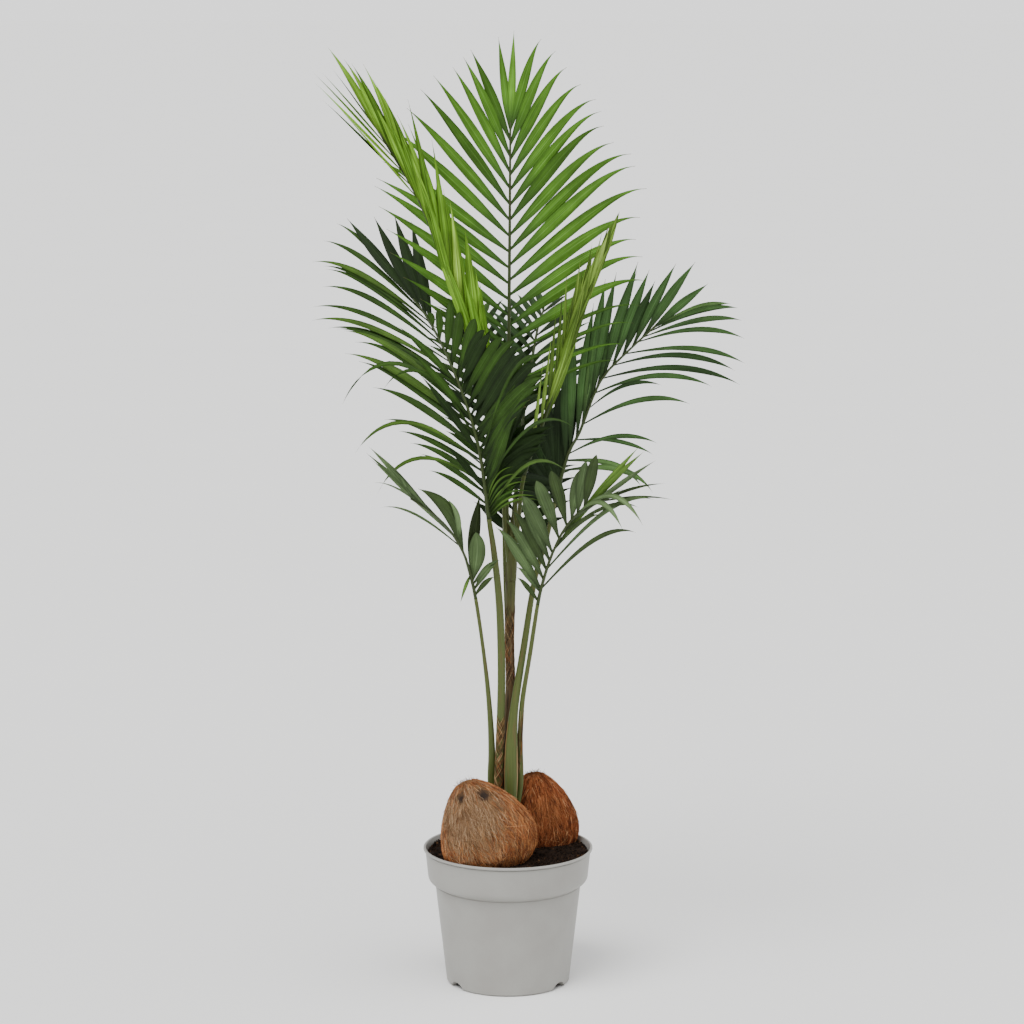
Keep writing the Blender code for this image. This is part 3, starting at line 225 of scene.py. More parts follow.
FRONDS = {
    "tall": Frond(
        seat=(0.0035, 0.0125),
        points=((-0.001, 0.008, 0.580), (-0.001, 0.006, 0.632), (0.000, 0.020, 0.702),
                (0.001, 0.035, 0.793), (0.002, 0.045, 0.908), (0.003, 0.040, 1.063)),
        rib_from=2, radii=(0.0026, 0.0026, 0.0026, 0.0025, 0.0023, 0.0019, 0.0012),
        rows=(Row(18, (0.19, 0.95), (-0.97, -0.10, 0.0), (48, 49, 53, 54, 52, 55, 43, 34, 28, 22),
                  (0.074, 0.103, 0.151, 0.183, 0.207, 0.188, 0.190, 0.174, 0.148, 0.120), 0.0142,
                  (0, 0, -0.12), 8, -12, 0.45, 0.42, 2.0, 0.1),
              Row(4, (0.22, 0.347), (0.97, -0.10, 0.0), (64, 63, 61), (0.153, 0.161, 0.175), 0.0060,
                  (0, 0, -0.20), -8, 12, 0.32, 0.50, 2.0, 0.5),
              Row(15, (0.389, 0.98), (0.97, -0.10, 0.0), (58, 53, 48, 44, 38, 36, 26, 15),
                  (0.189, 0.177, 0.199, 0.187, 0.161, 0.153, 0.133, 0.114), 0.0152,
                  (0, 0, -0.20), -8, 12, 0.50, 0.42, 2.0, 0.5),
              Row(2, (0.98, 0.99), (-1.0, 0.0, 0.0), (8, -1), (0.115, 0.115), 0.0130,
                  (0, 0, 0), 0, 0, 0.5)),
        greens="fresh", slot="leaf_mid_green", seed=1),
    "left": Frond(
        seat=(0.225, 222),
        points=((-0.0110, 0.0000, 0.262), (-0.009, -0.0030, 0.330), (-0.008, -0.0060, 0.400),
                (-0.0105, -0.010, 0.480), (-0.0170, -0.021, 0.545), (-0.0230, -0.030, 0.588),
                (-0.031, -0.035, 0.652), (-0.043, -0.030, 0.706), (-0.068, -0.005, 0.771),
                (-0.095, 0.030, 0.821), (-0.116, 0.049, 0.848)),
        rib_from=6, radii=(0.0055, 0.0054, 0.0049, 0.0048, 0.0045, 0.0038, 0.0030, 0.0022, 0.0018, 0.0016,
                           0.0014, 0.0012),
        rows=(Row(8, (0.06, 0.38), (-0.80, 0.50, 0.0), (55, 54, 60, 43, 39),
                  (0.091, 0.110, 0.135, 0.172, 0.211), 0.0094,
                  (0, 0, -0.40), 50, -30, 0.30, 0.52, 2.0, 0.1),
              Row(12, (0.42, 0.97), (-0.80, 0.50, 0.0), (32, 33, 34, 20, 20, 1),
                  (0.199, 0.217, 0.232, 0.214, 0.212, 0.165), 0.0074,
                  (0, 0, -0.45), 62, -40, 0.32, 0.58, 2.0, 0.15),
              Row(4, (0.12, 0.56), (-0.50, -0.10, 0.10), (29, 24, 22, 24), (0.076, 0.121, 0.108, 0.101),
                  0.0125, (0, 0, -0.20), -15, 0, 0.14, 0.50, 2.0, 0.1),
              Row(4, (0.14, 0.40), (-0.80, 0.20, 0.30), (50, 43, 15, 23), (0.164, 0.188, 0.165, 0.221),
                  0.0056, (0, 0, -1.90), 40, -40, 0.26, 0.60),
              Row(4, (0.85, 0.99), (0.75, 0.45, 0.30), (18, 15, 10, -2), (0.164, 0.163, 0.151, 0.143),
                  0.0165, (0, 0, -0.05), 0, 0, -0.20, 0.50),
              Row(8, (0.10, 0.36), (0.72, -0.62, 0.10), (28, 40, 51, 66), (0.129, 0.138, 0.157, 0.149),
                  0.0195, (0.1, -0.2, -0.1), 0, 0, 0.16, 0.46, 2.2, 0.5),
              Row(7, (0.34, 0.60), (0.70, -0.60, 0.20), (57, 59, 61, 60, 64),
                  (0.149, 0.130, 0.115, 0.088, 0.078), 0.0195,
                  (0, -0.2, -0.15), 0, 0, 0.14, 0.50, 3.0, 0.5),
              Row(9, (0.12, 0.66), (0.75, -0.20, 0.40), (36, 42, 44, 44, 40),
                  (0.100, 0.115, 0.105, 0.085, 0.060), 0.0185, (0, 0, -0.2), 14, 0, 0.05, 0.48, 3.0, 0.2),
              Row(5, (0.58, 0.84), (0.60, -0.50, 0.30), (47, 44, 39, 28, 15),
                  (0.084, 0.071, 0.061, 0.037, 0.020), 0.0260,
                  (0, -0.3, -0.2), 0, 0, 0.22, 0.58, 3.6, 0.3),
              Row(3, (0.02, 0.24), (0.66, -0.70, 0.10), (42, 44, 31), (0.217, 0.221, 0.221),
                  0.0046, (0.3, -0.4, -1.1), 30, -20, 0.38, 0.66, 2.0, 0.3),
              Row(7, (0.00, 0.07), (0.72, -0.62, 0.10), (52, 38, 24), (0.088, 0.080, 0.066),
                  0.0046, (0.9, -0.1, -0.9), 0, 0, 0.48, 0.50),
              Row(9, (0.00, 0.20), (0.72, -0.30, 0.20), (40, 50, 60), (0.060, 0.095, 0.115), 0.0230,
                  (0, -0.1, -0.2), 10, 0, 0.0, 0.50, 2.4, 0.3)),
        greens="deep", slot="leaf_dark_green", seed=2),
    "right": Frond(
        seat=(0.225, 292),
        points=((0.0040, -0.0048, 0.262), (0.0045, -0.0045, 0.300), (0.0080, -0.0020, 0.349),
                (0.0200, 0.0080, 0.424), (0.0330, 0.0180, 0.504), (0.0470, 0.0250, 0.552),
                (0.0575, 0.0320, 0.597), (0.074, 0.050, 0.655), (0.089, 0.062, 0.682),
                (0.114, 0.080, 0.742), (0.147, 0.092, 0.777), (0.184, 0.100, 0.810)),
        rib_from=7, radii=(0.0073, 0.0083, 0.0075, 0.0052, 0.0041, 0.0033, 0.0029, 0.0024, 0.0020, 0.0018,
                           0.0016, 0.0014, 0.0012),
        rows=(Row(13, (0.20, 0.98), (-0.60, -0.20, 0.70), (19, 30, 12, 14, 10, 25, 24, 22, -2),
                  (0.150, 0.172, 0.162, 0.166, 0.155, 0.141, 0.102, 0.123, 0.090), 0.0168,
                  (0, 0, -0.10), 0, 0, 0.48, 0.50),
              Row(9, (0.24, 0.88), (0.60, 0.30, -0.20), (41, 55, 40, 32, 43, 43, 32, 35, 28),
                  (0.129, 0.114, 0.153, 0.112, 0.161, 0.189, 0.173, 0.161, 0.142), 0.0078,
                  (0.9, 0, -0.80), 30, -36, 0.42, 0.64, 2.0, 0.4),
              Row(3, (0.92, 0.98), (0.60, 0.30, -0.20), (22, 17, 15), (0.134, 0.121, 0.107), 0.0125,
                  (0, 0, -0.50), 30, -10, 0.55, 0.60, 2.4),
              Row(2, (0.16, 0.21), (0.60, 0.30, -0.60), (66, 67), (0.149, 0.125), 0.0094,
                  (0, 0, -1.00), 20, -20, 0.85, 0.60, 2.0, 0.6),
              Row(5, (0.00, 0.14), (-0.85, 0.30, 0.40), (24, 17, 12, 8), (0.092, 0.120, 0.131, 0.116),
                  0.0200, (0, 0, -0.10), 10, 0, 0.05, 0.50, 3.4, 0.3),
              Row(5, (0.00, 0.12), (-0.85, 0.30, 0.40), (55, 45, 38), (0.085, 0.088, 0.080), 0.0230,
                  (0, 0, -0.1), 10, 0, 0.0, 0.50, 2.4, 0.3),
              Row(4, (0.00, 0.10), (-0.85, 0.30, 0.40), (103, 97, 94), (0.054, 0.062, 0.068), 0.0240,
                  (0, 0, -0.1), 10, 0, 0.0, 0.50, 2.4, 0.3)),
        greens="blue", slot="leaf_blue_green", seed=3),
    "spear_left": Frond(
        seat=(0.0008, 0.0060),
        points=((-0.004, 0.003, 0.581), (-0.006, 0.000, 0.631), (-0.014, -0.003, 0.693),
                (-0.027, -0.005, 0.748), (-0.055, -0.010, 0.822), (-0.080, -0.020, 0.901),
                (-0.106, -0.030, 0.973), (-0.152, -0.040, 1.053)),
        rib_from=2, radii=(0.0026, 0.0025, 0.0024, 0.0023, 0.0022, 0.0020, 0.0018, 0.0015, 0.0012),
        rows=(Row(16, (0.02, 0.56), (0.85, 0.20, 0.30), (-2, 3, 9, 17, 13, 7),
                  (0.178, 0.183, 0.165, 0.156, 0.148, 0.135), 0.0105, (0, 0, 0), -12, 0, 0.55, 0.50),
              Row(3, (0.46, 0.66), (0.80, -0.10, 0.45), (17, 14, 9), (0.144, 0.179, 0.181), 0.0105,
                  (-0.1, 0, 0), 10, 0, 0.60, 0.35, 1.6),
              Row(9, (0.56, 1.00), (0.80, -0.10, 0.45), (8, 7, 6, 6, 8, 10, 10, 10, 4),
                  (0.194, 0.183, 0.172, 0.162, 0.161, 0.160, 0.142, 0.122, 0.118), 0.0100,
                  (-0.25, 0, 0), 10, 0, 0.55, 0.40),
              Row(6, (0.80, 1.00), (-0.40, -0.60, -0.30), (18, 23, 15, 15, 5),
                  (0.149, 0.161, 0.149, 0.130, 0.096), 0.0095, (-0.10, 0, 0), 30, 0, 0.40, 0.35),
              Row(16, (0.02, 0.80), (0.55, -0.80, 0.20), (4, 5, 7, 6, 5),
                  (0.160, 0.160, 0.160, 0.150, 0.120), 0.0100, (-0.1, 0, 0), 60, 0, 0.50, 0.50)),
        greens="young", slot="leaf_young_green", seed=4),
    "spear_right": Frond(
        seat=(0.0072, 0.0060),
        points=((0.013, 0.002, 0.581), (0.020, 0.000, 0.637), (0.044, -0.004, 0.705),
                (0.063, -0.008, 0.762), (0.082, -0.012, 0.820), (0.107, -0.016, 0.885),
                (0.128, -0.020, 0.946)),
        rib_from=2, radii=(0.0026, 0.0025, 0.0024, 0.0022, 0.0020, 0.0018, 0.0015, 0.0012),
        rows=(Row(9, (0.10, 0.80), (-0.80, -0.45, 0.10), (16, 17, 18, 12, 7),
                  (0.116, 0.128, 0.119, 0.095, 0.070), 0.0082, (0, 0, 0), 10, 0, 0.45, 0.36, 1.6),
              Row(11, (0.20, 0.85), (-0.80, 0.35, 0.10), (6, 8, 7, 8, 5),
                  (0.138, 0.125, 0.105, 0.080, 0.049), 0.0105, (0, 0, 0), -12, 0, 0.60, 0.50),
              Row(10, (0.19, 0.80), (-0.50, -0.85, 0.10), (4, 6, 6, 6, 3),
                  (0.143, 0.136, 0.120, 0.100, 0.078), 0.0105, (0, 0, 0), -62, 0, 0.65, 0.50),
              Row(10, (0.17, 0.86), (0.50, -0.85, 0.10), (3, 3, 3, 3), (0.126, 0.116, 0.094, 0.060),
                  0.0100, (0, 0, 0), 62, 0, 0.55, 0.50)),
        greens="olive", slot="leaf_young_green", seed=5),
    "low_right": Frond(
        seat=(0.205, 335),
        points=((0.0155, 0.0020, 0.250), (0.0150, 0.0010, 0.305), (0.0180, 0.0000, 0.356),
                (0.0270, -0.0040, 0.414), (0.0365, -0.0125, 0.479), (0.043, -0.020, 0.509),
                (0.054, -0.035, 0.546), (0.070, -0.055, 0.582), (0.092, -0.080, 0.610),
                (0.120, -0.108, 0.630)),
        rib_from=5, radii=(0.0030, 0.0034, 0.0034, 0.0030, 0.0027, 0.0023, 0.0020, 0.0017, 0.0015, 0.0013,
                           0.0012),
        rows=(Row(2, (0.02, 0.08), (-0.60, -0.20, 0.50), (42, 45), (0.045, 0.050), 0.0120,
                  (0, -0.2, -0.35), 20, 0, 0.35, 0.50, 2.0, 0.3),
              Row(4, (0.10, 0.30), (-0.60, -0.20, 0.50), (40, 38, 37, 36), (0.110, 0.107, 0.104, 0.101),
                  0.0180, (0, -0.2, -0.25), 10, 0, 0.45, 0.48, 2.0, 0.3),
              Row(3, (0.36, 0.58), (-0.60, -0.20, 0.50), (39, 39, 38), (0.101, 0.095, 0.092), 0.0225,
                  (0, -0.1, -0.1), 0, 0, 0.45, 0.58, 3.0, 0.1),
              Row(3, (0.64, 0.78), (-0.60, -0.20, 0.50), (25, 28, 29), (0.087, 0.097, 0.102), 0.0195,
                  (0, -0.1, -0.1), 0, 0, 0.52, 0.55, 2.6, 0.1),
              Row(4, (0.10, 0.52), (0.60, -0.30, -0.60), (25, 21, 14, 19), (0.174, 0.203, 0.095, 0.137),
                  0.0062, (0, 0, -0.60), 10, -10, 0.36, 0.70, 2.0, 0.2),
              Row(3, (0.40, 0.60), (0.60, -0.30, 0.50), (13, 13, 17), (0.189, 0.164, 0.141),
                  0.0090, (0, 0, -0.15), -15, 0, 0.90, 0.60),
              Row(1, (0.74, 0.74), (0.60, -0.30, 0.50), (48,), (0.061,), 0.0100,
                  (0, 0, -0.15), -15, 0, 0.85, 0.60),
              Row(2, (0.70, 0.84), (0.80, 0.20, -0.30), (16, 21), (0.133, 0.107),
                  0.0058, (0.2, 0, -0.4), 0, 0, 0.40, 0.55),
              Row(2, (0.68, 0.72), (0.60, -0.20, 0.60), (-7, -7), (0.106, 0.136),
                  0.0085, (0.3, 0, -2.0), 45, 0, 0.92, 0.60)),
        greens="grey", slot="leaf_grey_green", seed=6),
    "low_left": Frond(
        seat=(0.212, 168),
        points=((-0.0203, 0.0110, 0.250), (-0.0200, 0.0070, 0.293), (-0.0235, 0.0010, 0.356),
                (-0.0300, -0.0060, 0.418), (-0.0395, -0.0190, 0.488), (-0.0475, -0.032, 0.526),
                (-0.0545, -0.045, 0.550), (-0.069, -0.064, 0.578), (-0.090, -0.088, 0.604),
                (-0.115, -0.110, 0.625)),
        rib_from=5, radii=(0.0052, 0.0050, 0.0043, 0.0030, 0.0024, 0.0021, 0.0018, 0.0016, 0.0015, 0.0013,
                           0.0012),
        rows=(Row(2, (0.42, 0.62), (-0.60, 0.30, -0.20), (24, 6), (0.119, 0.138), 0.0058,
                  (0, 0, -0.50), 20, -20, 0.45, 0.68, 2.0, 0.2),
              Row(2, (0.52, 0.80), (-0.60, 0.30, -0.20), (12, -11), (0.157, 0.158), 0.0085,
                  (0, 0, -0.1), 20, 0, 0.72, 0.55),
              Row(3, (0.66, 0.98), (-0.60, 0.30, -0.20), (2, -12, -26), (0.164, 0.117, 0.062), 0.0068,
                  (0, 0, -0.1), 20, 0, 0.60, 0.55),
              Row(1, (0.36, 0.36), (0.60, -0.20, 0.80), (12,), (0.118,), 0.0215,
                  (-0.9, 0, -0.3), 20, 0, 0.50, 0.50, 2.4),
              Row(1, (0.44, 0.44), (0.60, -0.20, 0.80), (27,), (0.070,), 0.0120,
                  (-0.7, 0, -0.1), 20, 0, 0.55, 0.50, 2.4),
              Row(1, (0.12, 0.12), (0.60, -0.20, 0.80), (24,), (0.068,), 0.0320,
                  (-0.5, 0, 0.2), 0, 0, 0.60, 0.55, 2.6),
              Row(1, (0.16, 0.16), (0.60, 0.30, 0.80), (24,), (0.104,), 0.0250,
                  (0, 0, 0), 0, 0, 0.0, 0.5, 2.4),
              Row(3, (0.02, 0.10), (0.60, -0.20, 0.60), (44, 40, 47), (0.037, 0.047, 0.050), 0.0135,
                  (0, -0.2, -0.5), 0, 0, 0.40, 0.55, 2.0, 0.2),
              Row(1, (0.17, 0.17), (-0.35, -0.30, -0.90), (125,), (0.036,), 0.0140,
                  (0, 0, -0.30), 0, 0, 0.9)),
        greens="grey", slot="leaf_grey_green", seed=7),
    "back_left": Frond(
        seat=(0.440, 113),
        points=((-0.004, 0.030, 0.520), (-0.006, 0.052, 0.610), (-0.014, 0.100, 0.690),
                (-0.024, 0.155, 0.748), (-0.035, 0.210, 0.788), (-0.046, 0.262, 0.808)),
        rib_from=2, radii=(0.0024, 0.0023, 0.0022, 0.0020, 0.0018, 0.0015, 0.0012),
        rows=(Row(14, (0.10, 0.99), (-1.0, 0.10, 0.10), (44, 42, 40, 32, 14),
                  (0.085, 0.105, 0.110, 0.100, 0.090), 0.0170, (0, 0, -0.35), 15, 0, 0.2, 0.45),
              Row(14, (0.07, 0.96), (1.0, 0.10, 0.10), (52, 46, 40, 34, 16),
                  (0.090, 0.115, 0.120, 0.105, 0.090), 0.0170, (0, 0, -0.35), -15, 0, 0.2, 0.45)),
        greens="deep", slot="leaf_dark_green", seed=8),
    "back_right": Frond(
        seat=(0.470, 67),
        points=((0.008, 0.030, 0.540), (0.011, 0.052, 0.622), (0.020, 0.102, 0.702), (0.030, 0.158, 0.758),
                (0.038, 0.212, 0.796), (0.046, 0.264, 0.815)),
        rib_from=2, radii=(0.0024, 0.0023, 0.0022, 0.0020, 0.0018, 0.0015, 0.0012),
        rows=(Row(14, (0.10, 0.99), (-1.0, 0.10, 0.10), (50, 46, 40, 32, 14),
                  (0.090, 0.112, 0.116, 0.105, 0.090), 0.0170, (0, 0, -0.35), 15, 0, 0.2, 0.45),
              Row(14, (0.07, 0.96), (1.0, 0.10, 0.10), (44, 42, 40, 32, 16),
                  (0.090, 0.110, 0.112, 0.100, 0.085), 0.0170, (0, 0, -0.35), -15, 0, 0.2, 0.45)),
        greens="blue", slot="leaf_blue_green", seed=9),
    "back_low": Frond(
        seat=(0.360, 92),
        points=((0.001, 0.032, 0.430), (0.003, 0.052, 0.520), (0.007, 0.092, 0.580), (0.012, 0.142, 0.612),
                (0.017, 0.192, 0.620), (0.022, 0.238, 0.610)),
        rib_from=2, radii=(0.0024, 0.0023, 0.0022, 0.0020, 0.0018, 0.0015, 0.0012),
        rows=(Row(12, (0.16, 0.99), (-1.0, 0.10, 0.10), (42, 38, 32, 26, 12),
                  (0.070, 0.085, 0.085, 0.080, 0.070), 0.0220, (0, 0, -0.45), 15, 0, 0.0, 0.45),
              Row(12, (0.12, 0.96), (1.0, 0.10, 0.10), (52, 48, 42, 34, 16),
                  (0.080, 0.100, 0.105, 0.095, 0.075), 0.0220, (0, 0, -0.45), -15, 0, 0.0, 0.45)),
        greens="deep", slot="leaf_dark_green", seed=10),
}


def unit(v):
    """A vector, or each row of an array of them, at length one."""
    v = np.asarray(v, float)
    return v / np.linalg.norm(v, axis=-1, keepdims=True)


def linear(hex_colour):
    """An sRGB hex colour as linear red, green, blue and alpha."""
    channels = [int(hex_colour[i:i + 2], 16) / 255 for i in (1, 3, 5)]
    return [c / 12.92 if c <= 0.04045 else ((c + 0.055) / 1.055) ** 2.4 for c in channels] + [1.0]


def read_along(at, where, line):
    """The points of a line, or its directions, at places between those where they are known."""
    return np.stack([np.interp(at, where, line[:, k]) for k in range(3)], -1)


def side_by_side(*fields):
    """Fields of numbers stretched to one shape and laid side by side, as the coordinates of points."""
    return np.stack(np.broadcast_arrays(*fields), -1)


def about_z(radius, bearing, height):
    """Points at a radius and a bearing in radians about Z, and at a height."""
    return side_by_side(radius * np.cos(bearing), radius * np.sin(bearing), height)


def turns(count):
    """Evenly spaced angles once round, in radians."""
    return 2 * math.pi * np.arange(count) / count


def between(share, knots):
    """A value at a share of the way along evenly spaced knots."""
    return np.interp(share, np.linspace(0, 1, len(knots)), knots)


def square_to(ways):
    """Two directions square to each given one and to each other, the first as near X as it can be."""
    u = unit(ACROSS - (ways @ ACROSS)[..., None] * ways)
    return u, np.cross(ways, u)


def ripple(points, wavelength, draw, waves=24):
    """A smooth uneven field over the points, about -1 to 1: the mean of plane waves that run in random
    directions, each about the wavelength long."""
    points = np.asarray(points, float)
    ways = unit(draw.normal(size=(waves, points.shape[-1])))
    rates = 2 * math.pi / (wavelength * draw.uniform(0.7, 1.5, waves))
    phases = draw.uniform(0, 2 * math.pi, waves)
    return np.sin((points @ ways.T) * rates + phases).sum(-1) / math.sqrt(waves)


# Surfaces


def grid_faces(rows, columns, round_columns=False):
    """The four-cornered faces of a grid of points counted row by row, its columns closed where asked."""
    r = np.arange(rows - 1)[:, None] * columns
    c = np.arange(columns if round_columns else columns - 1)[None, :]
    n = (c + 1) % columns
    return np.stack([r + c, r + n, r + columns + n, r + columns + c], -1).reshape(-1, 4)


def piece(name, points, faces, looks, face_looks=None, uv=None, blade=None, smooth=True, merge=False):
    """A mesh object from arrays: points, faces, materials, the material of each face, and its maps, one
    in metres over the surface and, for leaves, one in shares across and along the blade."""
    mesh = bpy.data.meshes.new(name)
    mesh.from_pydata(np.asarray(points, float).reshape(-1, 3).tolist(), [], np.asarray(faces).tolist())
    for look in looks:
        mesh.materials.append(look)
    if face_looks is not None:
        mesh.polygons.foreach_set("material_index", np.asarray(face_looks, np.int32))
    corners = np.asarray(faces).ravel()
    for title, places in (("surface", uv), ("blade", blade)):
        if places is not None:
            mesh.uv_layers.new(name=title).data.foreach_set(
                "uv", np.asarray(places, float).reshape(-1, 2)[corners].ravel())
    if merge:
        bm = bmesh.new()
        bm.from_mesh(mesh)
        bmesh.ops.remove_doubles(bm, verts=bm.verts, dist=0.000002)
        bmesh.ops.dissolve_degenerate(bm, edges=bm.edges, dist=0.000002)
        bmesh.ops.recalc_face_normals(bm, faces=bm.faces)
        bm.to_mesh(mesh)
        bm.free()
    mesh.polygons.foreach_set("use_smooth", np.full(len(mesh.polygons), smooth))
    obj = bpy.data.objects.new(name, mesh)
    bpy.context.collection.objects.link(obj)
    return obj


def stands_for(obj, slot, *nodes):
    """Let a piece ride on the plant's one body and hide the imported parts that it stands for. Its slot is
    not used.
    """
    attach(obj, "root")
    if nodes:
        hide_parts(*nodes)


# Materials


def node(tree, kind, inputs=None, **settings):
    """Add a node to a material, with its own settings, and with each input linked to a socket, set to a
    number, or set to a hex colour turned linear."""
    made = tree.nodes.new("ShaderNode" + kind)
    for name, value in settings.items():
        setattr(made, name, value)
    for name, value in (inputs or {}).items():
        if isinstance(value, bpy.types.NodeSocket):
            tree.links.new(value, made.inputs[name])
        else:
            made.inputs[name].default_value = linear(value) if isinstance(value, str) else value
    return made


def material(name, colour, roughness, **sockets):
    """A Principled material with its constant values on the shader's own sockets."""
    made = bpy.data.materials.new(name)
    made.use_nodes = True
    shader = made.node_tree.nodes["Principled BSDF"]
    shader.inputs["Base Color"].default_value = linear(colour)
    shader.inputs["Roughness"].default_value = roughness
    for socket, value in sockets.items():
        shader.inputs[socket.replace("_", " ")].default_value = value
    return made, made.node_tree, shader


def streaks(tree, across_mm, along_mm, detail=3.0):
    """Uneven streaks that run along a surface whose UV map counts metres across and along it."""
    place = node(tree, "UVMap", uv_map="surface")
    spread = node(tree, "Mapping", {
        "Vector": place.outputs["UV"], "Scale": (1 / (across_mm * MM), 1 / (along_mm * MM), 1.0)})
    noise = node(tree, "TexNoise", {"Vector": spread.outputs[0], "Scale": 1.0, "Detail": detail})
    return noise.outputs["Fac"]


def moulded_polypropylene():
    """Injection-moulded polypropylene: an even grey with a faint cloudiness, and a satin skin whose fine
    tooth softens the gloss."""
    made, tree, shader = material("moulded_polypropylene", "#94938e", 0.45, IOR=1.49)
    place = node(tree, "TexCoord").outputs["Object"]
    cloud = node(tree, "TexNoise", {"Vector": place, "Scale": 1 / (40 * MM), "Detail": 3.0})
    share = node(tree, "MapRange", {"Value": cloud.outputs["Fac"], "From Min": 0.35, "From Max": 0.65})
    tint = node(tree, "Mix", {0: share.outputs[0], 6: "#918f8a", 7: "#969590"}, data_type="RGBA")
    tree.links.new(tint.outputs[2], shader.inputs["Base Color"])
    tooth = node(tree, "TexNoise", {"Vector": place, "Scale": 1 / (1.2 * MM), "Detail": 2.0})
    relief = node(tree, "Bump", {"Height": tooth.outputs["Fac"], "Strength": 0.12, "Distance": 0.1 * MM})
    tree.links.new(relief.outputs[0], shader.inputs["Normal"])
    return made


def damp_peat(name, colour):
    """Damp peat and bark fines: nearly black, matt, and rough at the scale of its crumbs."""
    made, tree, shader = material(name, colour, 0.9, Specular_IOR_Level=0.12)
    place = node(tree, "TexCoord").outputs["Object"]
    grit = node(tree, "TexNoise", {"Vector": place, "Scale": 1 / (3 * MM), "Detail": 5.0})
    relief = node(tree, "Bump", {"Height": grit.outputs["Fac"], "Strength": 0.8, "Distance": 1.0 * MM})
    tree.links.new(relief.outputs[0], shader.inputs["Normal"])
    return made


def coir(name, dark, light):
    """Coir, the combed fibre of a husked coconut: streaks of light and dark brown along the fibres, and
    a darker brown where the eyes are sunk, by the depth that the second map carries."""
    made, tree, shader = material(name, light, 0.85, Specular_IOR_Level=0.2)
    fibres = node(tree, "MapRange", {"Value": streaks(tree, 0.9, 20.0), "From Min": 0.35,
                                     "From Max": 0.65})
    skin = node(tree, "Mix", {0: fibres.outputs[0], 6: dark, 7: light}, data_type="RGBA")
    depth = node(tree, "SeparateXYZ", {"Vector": node(tree, "UVMap", uv_map="blade").outputs["UV"]})
    pit = node(tree, "MapRange", {"Value": depth.outputs["X"], "From Min": 0.20, "From Max": 0.95})
    skin = node(tree, "Mix", {0: pit.outputs[0], 6: skin.outputs[2], 7: EYE_BROWN}, data_type="RGBA")
    tree.links.new(skin.outputs[2], shader.inputs["Base Color"])
    relief = node(tree, "Bump", {"Height": fibres.outputs[0], "Strength": 0.7, "Distance": 0.5 * MM})
    tree.links.new(relief.outputs[0], shader.inputs["Normal"])
    return made


def fibre_strand(name, colour):
    """A single dry plant fibre: matt and plain, too thin to show a grain."""
    made, tree, shader = material(name, colour, 0.8, Specular_IOR_Level=0.2)
    relief = node(tree, "Bump", {"Height": streaks(tree, 0.5, 6.0), "Strength": 0.3, "Distance": 0.1 * MM})
    tree.links.new(relief.outputs[0], shader.inputs["Normal"])
    return made


def leaf_skin(name, colour, greens):
    """Palm leaf: a waxy green skin over veins that run along the blade. The eye sees a dark foot, a pale
    midrib, painted shade that darkens the edges where the blade folds from the light, veins lighter and
    darker than the blade (on young and olive blades strong enough to paint the light and shade of their
    pleats too), soft clouds of painted light and shade along it and a dry brown point. Across and along
    the blade come from its own map, the veins from millimetres on its surface."""
    made, tree, shader = material(name, colour, 0.55, IOR=1.45, Specular_IOR_Level=0.14)
    blade = node(tree, "SeparateXYZ", {"Vector": node(tree, "UVMap", uv_map="blade").outputs["UV"]})
    across, along = blade.outputs["X"], blade.outputs["Y"]
    # Veins lighter and darker than the blade; on young and olive blades, with their greater depth, the
    # streaks also paint the light and shade of the pleats.
    vein = node(tree, "MapRange", {"Value": streaks(tree, greens.vein, 80.0, 2.0), "From Min": 0.36,
                                   "From Max": 0.64})
    lit = node(tree, "HueSaturation", {"Color": colour, "Value": 1 + greens.depth, "Saturation": 0.98})
    dim = node(tree, "HueSaturation", {"Color": colour, "Value": 1 - 0.6 * greens.depth})
    skin = node(tree, "Mix", {0: vein.outputs[0], 6: dim.outputs[0], 7: lit.outputs[0]}, data_type="RGBA")
    # Painted light and shade: soft clouds brighten and darken the blade, as light through and between the
    # leaves does.
    place = node(tree, "TexCoord").outputs["Object"]
    cloud = node(tree, "TexNoise", {"Vector": place, "Scale": 1 / (32 * MM), "Detail": 2.0})
    light = node(tree, "MapRange", {"Value": cloud.outputs["Fac"], "From Min": 0.25, "From Max": 0.75,
                                    "To Min": 0.68, "To Max": 1.22})
    skin = node(tree, "HueSaturation", {"Color": skin.outputs[2], "Value": light.outputs[0]})
    grown = node(tree, "MapRange", {"Value": along, "From Min": 0.02, "From Max": 0.36})
    skin = node(tree, "Mix", {0: grown.outputs[0], 6: greens.foot, 7: skin.outputs[0]}, data_type="RGBA")
    off = node(tree, "Math", {0: across, 1: 0.5}, operation="SUBTRACT")
    off = node(tree, "Math", {0: off.outputs[0]}, operation="ABSOLUTE").outputs[0]
    # Painted shade: the blade darkens towards its edges, where its fold turns it from the light.
    shade = node(tree, "MapRange", {"Value": off, "From Min": 0.18, "From Max": 0.5, "To Min": 1.0,
                                    "To Max": 0.66})
    skin = node(tree, "HueSaturation", {"Color": skin.outputs[2], "Value": shade.outputs[0]})
    midrib = node(tree, "MapRange", {"Value": off, "From Min": 0.045, "From Max": 0.012})
    pale = node(tree, "HueSaturation", {"Color": skin.outputs[0], "Value": LIGHT_VEIN, "Saturation": 0.92})
    skin = node(tree, "Mix", {0: midrib.outputs[0], 6: skin.outputs[0], 7: pale.outputs[0]},
                data_type="RGBA")
    dry = node(tree, "MapRange", {"Value": along, "From Min": 0.955, "From Max": 1.0})
    skin = node(tree, "Mix", {0: dry.outputs[0], 6: skin.outputs[2], 7: DRY_TIP}, data_type="RGBA")
    tree.links.new(skin.outputs[2], shader.inputs["Base Color"])
    relief = node(tree, "Bump", {"Height": vein.outputs[0], "Strength": 0.5, "Distance": 0.3 * MM})
    tree.links.new(relief.outputs[0], shader.inputs["Normal"])
    return made


